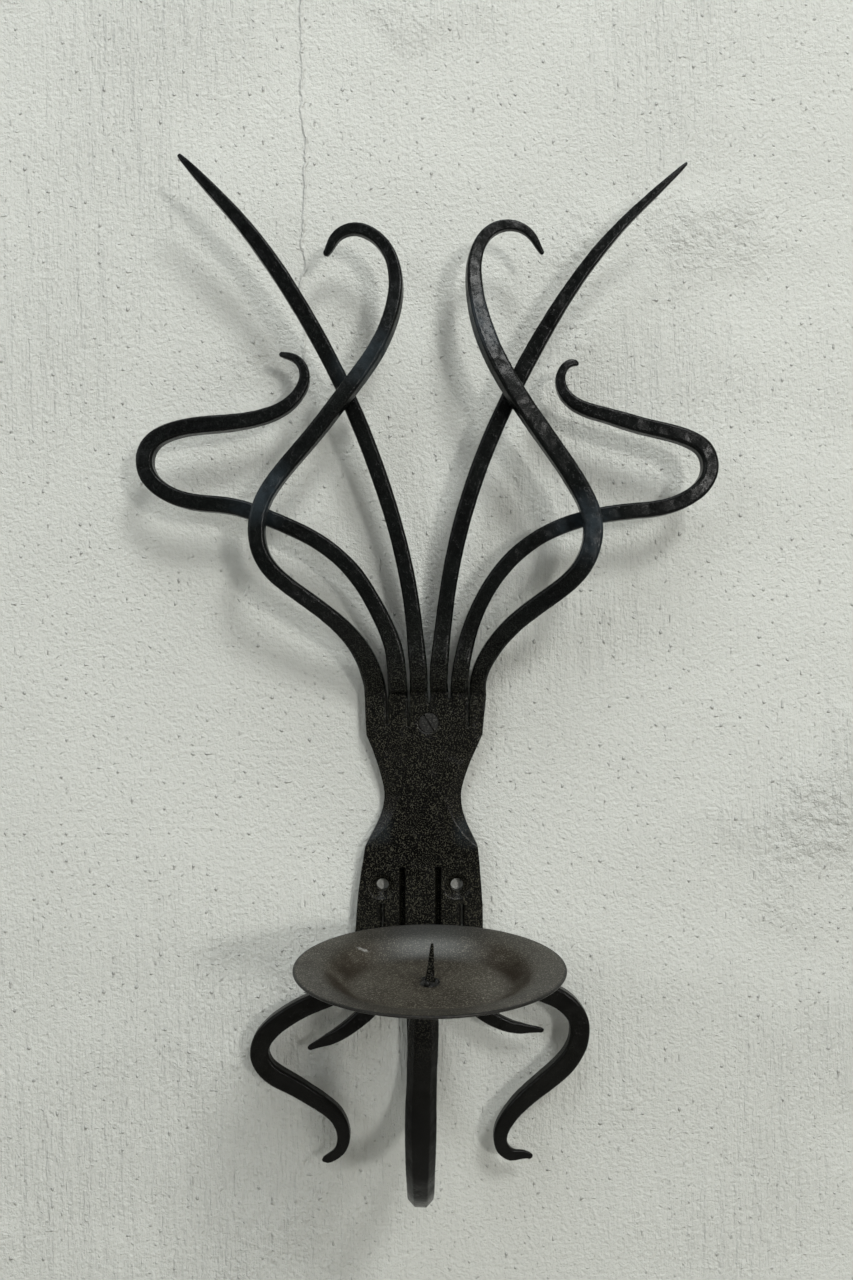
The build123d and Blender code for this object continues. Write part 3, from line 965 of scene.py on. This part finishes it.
@dataclass(frozen=True)
class ChiselTip:
    """A tendril's drawn-out end: thin and narrow at the tip, full a little way up."""

    tip: tuple[float, float, float]
    heel: tuple[float, float]
    flat_reach: float = 17.0
    thinning: float = 0.62
    narrow_reach: float = 11.0
    narrowing: float = 0.30

    @staticmethod
    def nearness(gap: np.ndarray, reach: float) -> np.ndarray:
        """How near each point is: 1 at the tip, falling slowly at first and 0 from the reach on.

        Args:
            gap: Each point's distance from the tip.
            reach: How far the tip's shape reaches, in millimetres.

        Returns:
            The nearness of each point.
        """
        near = np.clip(1.0 - gap / (reach * MM), 0.0, 1.0)
        return near * (2.0 - near)

    def draw_out(self, places: np.ndarray) -> None:
        """Draws the points near the tip together, from front to back and across the strip.

        Args:
            places: The piece's points, which are moved.
        """
        tip = np.array(self.tip) * MM
        gap = np.hypot(places[:, 0] - tip[0], places[:, 2] - tip[2])
        places[:, 1] += (tip[1] - places[:, 1]) * self.thinning * self.nearness(gap, self.flat_reach)
        way = np.array([self.tip[0] - self.heel[0], self.tip[2] - self.heel[1]])
        square = np.array([-way[1], way[0]]) / np.hypot(*way)
        offset = (places[:, 0] - tip[0]) * square[0] + (places[:, 2] - tip[2]) * square[1]
        moved = offset * self.narrowing * self.nearness(gap, self.narrow_reach)
        places[:, 0] -= moved * square[0]
        places[:, 2] -= moved * square[1]


CHISEL_TIPS = {
    LowerStrips.OUTER_LEFT: ChiselTip(tip=(-47.2, -12.0, -131.8), heel=(-39.3, -127.3)),
    LowerStrips.INNER_LEFT: ChiselTip(tip=(-54.2, -12.0, -77.4), heel=(-40.5, -71.2)),
    LowerStrips.INNER_RIGHT: ChiselTip(tip=(60.2, -12.0, -68.6), heel=(45.0, -66.9)),
    LowerStrips.OUTER_RIGHT: ChiselTip(tip=(54.6, -12.0, -129.5), heel=(41.7, -127.2)),
}


class Forging:
    """The bar that is slit and drawn out.

    Each strip is worked with the bar's end on it, then cut at the slit's root.
    """

    def __init__(self, nodes: dict[str, bpy.types.Object], work: HammerWork) -> None:
        """Keeps the CAD nodes and finds the two heights where the strips leave the bar.

        Args:
            nodes: The CAD nodes by name.
            work: The hammer's sizes.
        """
        self.nodes = nodes
        self.work = work
        self.marks = work.textures()
        low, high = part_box("wall_plate")
        self.foot = low.z
        self.top = high.z

    def stock(self, names: tuple[str, ...], low: float, high: float) -> bmesh.types.BMesh:
        """Copies CAD nodes into one bmesh, merges their loose triangles and crops them to a band of heights.

        Args:
            names: The nodes' names.
            low: The lowest height that is kept.
            high: The highest height that is kept.

        Returns:
            The copy.
        """
        bm = bmesh.new()
        for name in names:
            part = bmesh.new()
            part.from_mesh(self.nodes[name].data)
            bmesh.ops.remove_doubles(part, verts=part.verts, dist=MERGE_GAP)
            for height, normal in ((low, -1.0), (high, 1.0)):
                found = bmesh.ops.bisect_plane(
                    part,
                    geom=[*part.verts, *part.edges, *part.faces],
                    dist=PLANE_GAP,
                    plane_co=(0.0, 0.0, height),
                    plane_no=(0.0, 0.0, normal),
                    clear_outer=True,
                )
                rim = [e for e in found["geom_cut"] if isinstance(e, bmesh.types.BMEdge)]
                if rim:
                    bmesh.ops.holes_fill(part, edges=rim, sides=0)
            bmesh.ops.recalc_face_normals(part, faces=part.faces)
            held = bpy.data.meshes.new("held")
            part.to_mesh(held)
            part.free()
            bm.from_mesh(held)
            bpy.data.meshes.remove(held)
        return bm

    def worked(self, name: str, names: tuple[str, ...], low: float, high: float) -> bpy.types.Object:
        """Remeshes the joined stock finely and hammers it.

        Args:
            name: The piece's name.
            names: The CAD nodes that it is joined from.
            low: The lowest height that is kept of them.
            high: The highest height that is kept of them.

        Returns:
            The hammered piece, still joined.
        """
        piece = to_object(self.stock(names, low, high), name)
        reskin(piece, self.work.voxel)
        soften(piece, self.work.ease, self.work.ease_times)
        for texture, depth in self.marks:
            displace(piece, texture, depth)
        applied(piece)
        self.planish(piece)
        mark_ridges(piece, self.work.ridge_reach, self.work.ridge_full)
        return piece

    def planish(self, piece: bpy.types.Object) -> None:
        """Strikes the neck's four facets and the odd dent into the bar's front.

        The low step at the roots of the upper strips comes level with the bar's face, and the back stays
        flat against the wall.

        Args:
            piece: The piece, whose points are moved.
        """
        work = self.work
        places = read_vectors(piece.data.vertices, "co")
        facing = read_vectors(piece.data.vertex_normals, "vector")[:, 1]
        across, out, up = places.T
        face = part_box("wall_plate")[0].y
        front = out < 0.5 * face
        for blow in FACETS:
            out[:] = np.where(front, np.maximum(out, blow.surface(across, up, face)), out)
        for dent in DENTS:
            out[:] = np.where(front, out + dent.depth_at(across, up), out)
        shelf = (up > self.top - work.shelf_below) & (up < self.top + work.shelf_above)
        shallow = shelf & (facing < work.shelf_facing) & (out > face) & (out < face + work.shelf_depth)
        out[:] = np.minimum(np.where(shallow, face, out), 0.0)
        move_points(piece.data, places)

    def cut(self, piece: bpy.types.Object, height: float, keep_above: bool) -> None:
        """Cuts a piece level at a height, drops one side and closes the cut with a sharp rim.

        Args:
            piece: The piece.
            height: The height of the cut.
            keep_above: Whether the upper part is kept.
        """
        bm = bmesh.new()
        bm.from_mesh(piece.data)
        found = bmesh.ops.bisect_plane(
            bm,
            geom=[*bm.verts, *bm.edges, *bm.faces],
            dist=PLANE_GAP,
            plane_co=(0.0, 0.0, height),
            plane_no=(0.0, 0.0, 1.0),
            clear_inner=keep_above,
            clear_outer=not keep_above,
        )
        rim = [e for e in found["geom_cut"] if isinstance(e, bmesh.types.BMEdge)]
        closed = bmesh.ops.holes_fill(bm, edges=rim, sides=0)
        for face in closed["faces"]:
            face.smooth = False
        for edge in rim:
            edge.smooth = False
        bm.to_mesh(piece.data)
        bm.free()

    def bar(self) -> bpy.types.Object:
        """The bar itself, worked with every strip on it.

        Returns:
            The bar, which stands in for its CAD node.
        """
        every = (*[t.value for t in Tines], *[s.value for s in LowerStrips])
        spare = self.work.overlap
        piece = self.worked("wall_bar", ("wall_plate", *every), self.foot - spare, self.top + spare)
        self.cut(piece, self.top, keep_above=False)
        self.cut(piece, self.foot, keep_above=True)
        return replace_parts(piece, "wall_plate")

    def strip(self, node: str) -> bpy.types.Object:
        """One tine, tendril or arm.

        Args:
            node: The CAD node that it stands for.

        Returns:
            The piece.
        """
        up = node in [t.value for t in Tines]
        low = self.top - self.work.overlap if up else -BEYOND
        high = BEYOND if up else self.foot + self.work.overlap
        piece = self.worked(f"forged_{node}", ("wall_plate", node), low, high)
        self.cut(piece, self.top if up else self.foot, keep_above=up)
        if not up and LowerStrips(node) in CHISEL_TIPS:
            places = read_vectors(piece.data.vertices, "co")
            CHISEL_TIPS[LowerStrips(node)].draw_out(places)
            move_points(piece.data, places)
        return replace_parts(piece, node)

    def build(self) -> list[bpy.types.Object]:
        """Builds every piece of the forging and hangs it on the root body.

        Returns:
            The pieces.
        """
        made = [self.bar()]
        made += [self.strip(t.value) for t in Tines]
        made += [self.strip(s.value) for s in LowerStrips]
        for piece in made:
            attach(piece, "root")
        return made


# ---------------------------------------------------------------- the pan and what stands in it


@dataclass
class DripPan:
    """The dished pan, spun from its profile.

    Three corners are given as shares of the way out and the way up: the foot and the top of the well's
    wall, and the lip's curve.
    """

    sheet: float = 1.6 * MM
    well_radius: float = 41.0 * MM
    floor_radius: float = 31.0 * MM
    rim_rise: float = 2.8 * MM
    edge_round: float = 0.5 * MM
    wall_foot: Band = (0.30, 0.12)
    wall_top: Band = (0.72, 0.62)
    lip_curve: Band = (0.35, 0.55)
    edge_share: float = 0.35
    steps: int = 256
    curve_levels: int = 2
    ridge_reach: int = 1
    ridge_full: float = 1500.0

    def profile(self, rim: float, high: float, floor: float) -> list[Vector]:
        """The profile's corners, from the middle of the floor over the rim and back underneath.

        Args:
            rim: The pan's radius.
            high: The rim's height.
            floor: The floor's height, on its upper side.

        Returns:
            Points across and up.
        """
        flare = high - self.rim_rise
        wall = self.well_radius - self.floor_radius
        climb = flare - floor
        lip = rim - self.well_radius
        upper = [
            (0.0, floor),
            (self.floor_radius * 0.5, floor),
            (self.floor_radius, floor),
            (self.floor_radius + self.wall_foot[0] * wall, floor + self.wall_foot[1] * climb),
            (self.floor_radius + self.wall_top[0] * wall, floor + self.wall_top[1] * climb),
            (self.well_radius, flare),
            (self.well_radius + self.lip_curve[0] * lip, flare + self.lip_curve[1] * self.rim_rise),
            (rim - self.edge_round, high),
        ]
        edge = [(rim, high - share * self.sheet) for share in (self.edge_share, 1.0 - self.edge_share)]
        under = [(across, up - self.sheet) for across, up in reversed(upper)]
        return [Vector((across, 0.0, up)) for across, up in upper + edge + under]

    def build(self) -> bpy.types.Object:
        """Spins the profile where the CAD pan is.

        Returns:
            The pan.
        """
        low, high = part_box("drip_pan")
        centre = (low + high) / 2
        rim = (high.x - low.x) / 2
        floor = low.z + self.sheet
        bm = spun(self.profile(rim, high.z, floor), self.steps)
        bmesh.ops.translate(bm, verts=bm.verts, vec=(centre.x, centre.y, 0.0))
        for face in bm.faces:
            face.smooth = True
        piece = to_object(bm, "dished_drip_pan")
        smoothed = piece.modifiers.new("curve", "SUBSURF")
        smoothed.levels = smoothed.render_levels = self.curve_levels
        applied(piece)
        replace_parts(piece, "drip_pan")
        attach(piece, "root")
        mark_ridges(piece, self.ridge_reach, self.ridge_full)
        return piece


@dataclass
class PanFittings:
    """The pricket and the bead that ties it to the pan."""

    voxel: float = 0.16 * MM
    dent_size: float = 3.0 * MM
    dent_depth: float = 0.22 * MM
    ease: float = 0.5
    pricket_passes: int = 3
    bead_passes: int = 8
    ridge_reach: int = 2
    ridge_full: float = 2500.0

    def build(self, nodes: dict[str, bpy.types.Object]) -> list[bpy.types.Object]:
        """Works the spike and the bead from their CAD shapes.

        Args:
            nodes: The CAD nodes by name.

        Returns:
            The pricket and the bead.
        """
        dents = bpy.data.textures.new("small dents", "CLOUDS")
        dents.noise_scale = self.dent_size
        dents.noise_depth = 2
        made = []
        for node, name, slot, passes in (
            ("pricket_spike", "forged_pricket", Slot.PAN, self.pricket_passes),
            ("pricket_weld", "lumpy_weld_bead", Slot.WELD, self.bead_passes),
        ):
            bm = bmesh.new()
            bm.from_mesh(nodes[node].data)
            bmesh.ops.remove_doubles(bm, verts=bm.verts, dist=MERGE_GAP)
            piece = to_object(bm, name)
            reskin(piece, self.voxel)
            soften(piece, self.ease, passes)
            displace(piece, dents, self.dent_depth)
            applied(piece)
            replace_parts(piece, node)
            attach(piece, "root")
            mark_ridges(piece, self.ridge_reach, self.ridge_full)
            made.append(piece)
        return made


# ---------------------------------------------------------------- the wall screw


@dataclass
class WallScrew:
    """The slotted countersunk screw in the top hole, with a real thread."""

    head_radius: float = 4.8 * MM
    shank_radius: float = 2.5 * MM
    core_radius: float = 1.8 * MM
    plain: float = 11.0 * MM
    point: float = 6.0 * MM
    pitch: float = 2.1 * MM
    slot_width: float = 0.8 * MM
    slot_depth: float = 0.9 * MM
    slot_turn: float = 58.0
    steps: int = 64
    edge_inset: float = 0.15 * MM
    edge_drop: float = 0.12 * MM
    shank_taper: float = 0.5 * MM
    thread_start: float = 0.3 * MM
    thread_end: float = 0.6 * MM
    thread_foot: float = 0.25 * MM
    thread_half: float = 0.55 * MM
    crest_half: float = 0.06 * MM
    turn_steps: int = 32
    tip_height: float = 0.35
    tip_radius: float = 0.02 * MM
    sharp_turn: float = 28.0
    ridge_full: float = 4000.0

    def body(self, length: float) -> bmesh.types.BMesh:
        """The head, shank and core, spun about +Z from the head's face at 0 down the length.

        Args:
            length: The screw's whole length.

        Returns:
            The body as a closed bmesh.
        """
        head = self.head_radius - self.shank_radius
        corners = (
            (0.0, 0.0),
            (self.head_radius - self.edge_inset, 0.0),
            (self.head_radius, self.edge_drop),
            (self.shank_radius, head),
            (self.shank_radius, self.plain),
            (self.core_radius, self.plain + self.shank_taper),
            (self.core_radius, length - self.point),
            (0.0, length),
        )
        return spun([Vector((across, 0.0, down)) for across, down in corners], self.steps)

    def thread(self, length: float) -> bmesh.types.BMesh:
        """A sharp ridge wound round the core, which runs out at both ends.

        Args:
            length: The screw's whole length.

        Returns:
            The ridge as a closed bmesh.
        """
        start = self.plain + self.thread_start
        turns = (length - start - self.thread_end) / self.pitch
        steps = int(turns * self.turn_steps)
        inner = self.core_radius - self.thread_foot
        outer = self.shank_radius
        bm = bmesh.new()
        corners = (
            (inner, -self.thread_half),
            (outer, -self.crest_half),
            (outer, self.crest_half),
            (inner, self.thread_half),
        )
        points = [bm.verts.new((across, 0.0, start + along)) for across, along in corners]
        face = bm.faces.new(points)
        bmesh.ops.spin(
            bm,
            geom=[face, *face.edges, *points],
            cent=(0.0, 0.0, 0.0),
            axis=(0.0, 0.0, 1.0),
            dvec=(0.0, 0.0, turns * self.pitch / steps),
            angle=math.tau * turns,
            steps=steps,
        )
        bmesh.ops.holes_fill(bm, edges=[e for e in bm.edges if e.is_boundary], sides=0)
        for vertex in bm.verts:
            radius = math.hypot(vertex.co.x, vertex.co.y)
            to_tip = min(max((length - vertex.co.z) / self.point, 0.0), 1.0)
            from_start = min(max((vertex.co.z - start) / self.pitch, 0.0), 1.0)
            rise = max(radius - self.core_radius, -self.core_radius) * from_start
            height = rise * (self.tip_height + (1.0 - self.tip_height) * to_tip)
            wanted = max(self.core_radius * to_tip + height, self.tip_radius)
            vertex.co.x *= wanted / radius
            vertex.co.y *= wanted / radius
        bmesh.ops.recalc_face_normals(bm, faces=bm.faces)
        return bm

    def build(self) -> bpy.types.Object:
        """Puts the screw where the CAD screw is, its slot turned and cut.

        Returns:
            The screw.
        """
        low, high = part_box("wall_screw")
        length = high.y - low.y
        body = to_object(self.body(length), "screw_body")
        cutter_bm = bmesh.new()
        bmesh.ops.create_cube(cutter_bm, size=1.0)
        saw = (4 * self.head_radius, self.slot_width, 2 * self.slot_depth)
        bmesh.ops.scale(cutter_bm, verts=cutter_bm.verts, vec=saw)
        turn = Matrix.Rotation(math.radians(self.slot_turn), 3, "Z")
        bmesh.ops.rotate(cutter_bm, verts=cutter_bm.verts, matrix=turn)
        cutter = to_object(cutter_bm, "slot_saw")
        sawn = body.modifiers.new("slot", "BOOLEAN")
        sawn.operation = "DIFFERENCE"
        sawn.solver = "EXACT"
        sawn.object = cutter
        applied(body)
        bpy.data.objects.remove(cutter)
        bm = self.thread(length)
        bm.from_mesh(body.data)
        bpy.data.objects.remove(body)
        middle = (low + high) / 2
        into_wall = Matrix.Rotation(math.radians(-90.0), 4, "X")
        into_wall = Matrix.Translation((middle.x, low.y, middle.z)) @ into_wall
        bmesh.ops.transform(bm, matrix=into_wall, verts=bm.verts)
        for face in bm.faces:
            face.smooth = True
        for edge in bm.edges:
            edge.smooth = edge.calc_face_angle(0.0) < math.radians(self.sharp_turn)
        piece = to_object(bm, "slotted_wall_screw")
        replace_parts(piece, "wall_screw")
        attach(piece, "root")
        mark_ridges(piece, 0, self.ridge_full)
        return piece


# ---------------------------------------------------------------- the room


def shaded(colour: Colour, factor: float) -> Colour:
    """Returns a colour darkened by a factor, with its last value at 1."""
    return tuple(factor * part for part in colour[:3]) + (1.0,)


@dataclass(frozen=True)
class PlasterFinish:
    """Hand-trowelled plaster that can be seen through from behind."""

    colour: Colour = (0.630, 0.645, 0.608, 1.0)
    hollow_tone: float = 0.96
    roughness: float = 0.85
    relief: float = 0.0045
    wave: float = 1.7
    grain: float = 0.36
    stroke: float = 1.05
    stroke_lean: float = 0.22
    stroke_stretch: float = 0.12
    lump: float = 1.4
    crumb: float = 0.36
    seam: float = 0.22
    seam_across: float = -0.052
    seam_wander: float = 0.012
    seam_half: float = 0.0014
    seam_rises: Band = (0.22, 0.27)

    def seam_height(self, sketch: NodeSketch, place: Socket) -> Socket:
        """The raised seam that wanders up the wall on the left.

        Args:
            sketch: The material's sketch.
            place: The wall's own coordinates.

        Returns:
            How high the seam stands.
        """
        across, _, up = sketch.axes(place)
        wander = sketch.times(sketch.noise(place, scale=45.0, detail=4.0, rough=0.6), self.seam_wander)
        aside = sketch.plus(sketch.plus(across, -self.seam_across), wander)
        line = sketch.ramp(sketch.reckon("ABSOLUTE", aside), 0.0, self.seam_half, 1.0, 0.0)
        return sketch.times(sketch.times(line, sketch.ramp(up, *self.seam_rises)), self.seam)

    def height(self, sketch: NodeSketch, place: Socket, broad: Socket) -> Socket:
        """The wall's relief: waves, brush strokes, lumps, grain, crumbs and the seam.

        Args:
            sketch: The material's sketch.
            place: The wall's own coordinates.
            broad: The broad waves.

        Returns:
            The relief's height.
        """
        dragged = sketch.mapped(
            place, Rotation=(0.0, self.stroke_lean, 0.0), Scale=(1.0, 1.0, self.stroke_stretch)
        )
        strokes = sketch.noise(dragged, scale=150.0, detail=5.0, rough=0.7)
        brushed = sketch.ramp(sketch.noise(place, scale=5.0, detail=2.0, rough=0.5), low=0.42, high=0.66)
        lumps = sketch.noise(place, scale=130.0, detail=5.0, rough=0.62)
        lumpy = sketch.ramp(sketch.noise(place, scale=8.0, detail=2.0, rough=0.5), low=0.56, high=0.74)
        grain = sketch.noise(place, scale=420.0, detail=4.0, rough=0.7)
        crumbs = sketch.ramp(sketch.noise(place, scale=430.0, detail=0.0, rough=0.5), low=0.72, high=0.92)
        high = sketch.plus(sketch.times(broad, self.wave), sketch.times(grain, self.grain))
        high = sketch.plus(high, sketch.times(sketch.times(brushed, strokes), self.stroke))
        high = sketch.plus(high, sketch.times(sketch.times(lumpy, lumps), self.lump))
        high = sketch.plus(high, sketch.times(crumbs, self.crumb))
        return sketch.plus(high, self.seam_height(sketch, place))

    def material(self, touching: float) -> bpy.types.Material:
        """Builds the finish.

        Args:
            touching: How long a ray from a piece may be that goes through the wall unseen.

        Returns:
            The material.
        """
        made = bpy.data.materials.new("pale plaster")
        made.use_nodes = True
        sketch = NodeSketch(made.node_tree)
        shader = made.node_tree.nodes["Principled BSDF"]
        place = sketch.own_place()
        broad = sketch.noise(place, scale=7.0, detail=2.0, rough=0.45)
        relief = sketch.node("ShaderNodeBump")
        sketch.feed(relief, Strength=1.0, Distance=self.relief, Height=self.height(sketch, place, broad))
        hollows = sketch.ramp(broad, low=0.3, high=0.7)
        tint = sketch.blend(hollows, self.colour, shaded(self.colour, self.hollow_tone))
        sketch.feed(shader, Base_Color=tint, Roughness=self.roughness, Normal=relief.outputs["Normal"])
        clear = sketch.node("ShaderNodeBsdfTransparent")
        behind = sketch.node("ShaderNodeNewGeometry").outputs["Backfacing"]
        length = sketch.node("ShaderNodeLightPath").outputs["Ray Length"]
        through = sketch.reckon("MAXIMUM", behind, sketch.reckon("LESS_THAN", length, touching))
        both = sketch.node("ShaderNodeMixShader")
        for index, value in enumerate((through, shader.outputs[0], clear.outputs[0])):
            sketch.plug(both.inputs[index], value)
        sketch.plug(made.node_tree.nodes["Material Output"].inputs[0], both.outputs[0])
        return made


@dataclass(frozen=True)
class FloorPaint:
    """Pale, slightly uneven floor paint."""

    colour: Colour = (0.52, 0.51, 0.48, 1.0)
    patch_tone: float = 0.97
    roughness: float = 0.8

    def material(self) -> bpy.types.Material:
        """Builds the finish.

        Returns:
            The material.
        """
        made = bpy.data.materials.new("pale floor paint")
        made.use_nodes = True
        sketch = NodeSketch(made.node_tree)
        patch = sketch.noise(sketch.own_place(), scale=5.0, detail=3.0, rough=0.5)
        patchy = sketch.ramp(patch, low=0.3, high=0.7)
        tint = sketch.blend(patchy, self.colour, shaded(self.colour, self.patch_tone))
        sketch.feed(made.node_tree.nodes["Principled BSDF"], Base_Color=tint, Roughness=self.roughness)
        return made


@dataclass(frozen=True)
class Lamp:
    """One soft lamp, by the way that it stands from the middle of the sconce."""

    name: str
    way: Place
    far: float
    power: float
    size: float
    tint: Place

    def hang(self, aim: Vector) -> None:
        """Hangs the lamp.

        Args:
            aim: What it faces.
        """
        light = bpy.data.lights.new(self.name, "AREA")
        light.shape = "DISK"
        light.size = self.size
        light.energy = self.power
        light.color = self.tint
        place = aim + Vector(self.way).normalized() * self.far
        stand = bpy.data.objects.new(self.name, light)
        stand.location = place
        stand.rotation_mode = "QUATERNION"
        stand.rotation_quaternion = (aim - place).to_track_quat("-Z", "Y")
        bpy.context.scene.collection.objects.link(stand)


LAMPS = (
    Lamp("ceiling_panel", way=(0.54, -1.0, 1.06), far=3.0, power=39.0, size=0.70, tint=(0.98, 0.99, 0.97)),
    Lamp("window_panel", way=(0.53, -1.0, 0.16), far=2.4, power=16.0, size=0.28, tint=(1.0, 0.985, 0.955)),
    Lamp("sky_panel", way=(-0.05, -0.42, 1.0), far=2.2, power=17.0, size=1.20, tint=(0.93, 0.97, 1.0)),
    Lamp("side_panel", way=(-0.75, -0.75, 0.42), far=2.2, power=9.0, size=1.20, tint=(0.90, 0.95, 1.0)),
)


@dataclass
class Room:
    """The plastered wall, the pale floor, the lamps and the camera."""

    low_light: Colour = (0.140, 0.137, 0.128, 1.0)
    side_light: Colour = (0.46, 0.435, 0.395, 1.0)
    side_band: Band = (0.28, 0.60)
    behind_band: Band = (-0.2, 0.3)
    high_light: Colour = (0.24, 0.24, 0.23, 1.0)
    high_band: Band = (0.35, 0.90)
    wall_half: float = 3.0
    floor_half: float = 9.0
    wall_gap: float = 0.0003
    touching_gaps: float = 2.5
    floor_drop: float = 0.9
    middle: Place = (0.0, 0.0, 0.10)
    eye: Place = (0.0033, -0.482, 0.1205)
    lens: float = 27.28
    nearest: float = 0.01

    def sheet(self, name: str, half: float, turn: float, place: Place) -> bpy.types.Object:
        """Lays one square of wall or floor.

        Args:
            name: The square's name.
            half: Half the length of its side.
            turn: How far it is tipped up about X, in degrees.
            place: Where its middle is.

        Returns:
            The square.
        """
        bm = bmesh.new()
        bmesh.ops.create_grid(bm, x_segments=1, y_segments=1, size=half)
        bmesh.ops.rotate(bm, verts=bm.verts, matrix=Matrix.Rotation(math.radians(turn), 3, "X"))
        bmesh.ops.translate(bm, verts=bm.verts, vec=place)
        return to_object(bm, name)

    def surfaces(self) -> None:
        """Adds the wall behind the sconce and the floor below it."""
        wall_place = (0.0, self.wall_gap, self.wall_half - self.floor_drop)
        wall = self.sheet("plaster_wall", self.wall_half, 90.0, wall_place)
        wall.data.materials.append(PlasterFinish().material(self.touching_gaps * self.wall_gap))
        floor_place = (0.0, -0.5 * self.floor_half, -self.floor_drop)
        floor = self.sheet("pale_floor", self.floor_half, 0.0, floor_place)
        floor.data.materials.append(FloorPaint().material())

    def lights(self) -> None:
        """Hangs the lamps and colours the world by direction."""
        for lamp in LAMPS:
            lamp.hang(Vector(self.middle))
        world = bpy.data.worlds.new("room light")
        world.use_nodes = True
        sketch = NodeSketch(world.node_tree)
        across, deep, up = sketch.axes(sketch.node("ShaderNodeTexCoord").outputs["Generated"])
        sideways = sketch.ramp(sketch.reckon("ABSOLUTE", across), *self.side_band)
        behind = sketch.ramp(deep, *self.behind_band)
        aside = sketch.reckon("MAXIMUM", sideways, behind)
        level = sketch.blend(aside, self.low_light, self.side_light)
        upper = sketch.ramp(up, *self.high_band)
        glow = world.node_tree.nodes["Background"]
        sketch.feed(glow, Color=sketch.blend(upper, level, self.high_light), Strength=1.0)
        bpy.context.scene.world = world

    def camera(self) -> None:
        """Sets the camera level and square to the wall."""
        data = bpy.data.cameras.new("eye")
        data.lens = self.lens
        data.clip_start = self.nearest
        eye = bpy.data.objects.new("eye", data)
        eye.location = self.eye
        eye.rotation_euler = (math.radians(90.0), 0.0, 0.0)
        bpy.context.scene.collection.objects.link(eye)
        bpy.context.scene.camera = eye

    def build(self) -> None:
        """Builds the whole room."""
        self.camera()
        self.surfaces()
        self.lights()
        bpy.context.scene.view_settings.view_transform = "Standard"


def main() -> None:
    """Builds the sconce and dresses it."""
    logging.basicConfig(level=logging.INFO, format="%(name)s: %(message)s")
    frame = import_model()
    nodes = frame["nodes"]
    Room().build()
    effects = EffectSet.build()
    bar_low, bar_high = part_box("wall_plate")
    iron = replace(WAXED_IRON, foot=bar_low.z, top=bar_high.z).material(effects)
    pan_low, pan_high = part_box("drip_pan")
    sheet = replace(PAN_SHEET, centre=tuple((pan_low + pan_high) / 2)).material(effects)
    weld = WELD_METAL.material(effects)
    black = BLACK_SCREW.material(effects)
    dressed = [(piece, iron) for piece in Forging(nodes, HammerWork()).build()]
    dressed.append((DripPan().build(), sheet))
    pricket, bead = PanFittings().build(nodes)
    dressed += [(pricket, iron), (bead, weld)]
    dressed.append((WallScrew().build(), black))
    for piece, material in dressed:
        piece.data.materials.clear()
        piece.data.materials.append(material)
        LOG.info("%s: %d faces, %s", piece.name, len(piece.data.polygons), material.name)


if __name__ == "__main__":
    main()
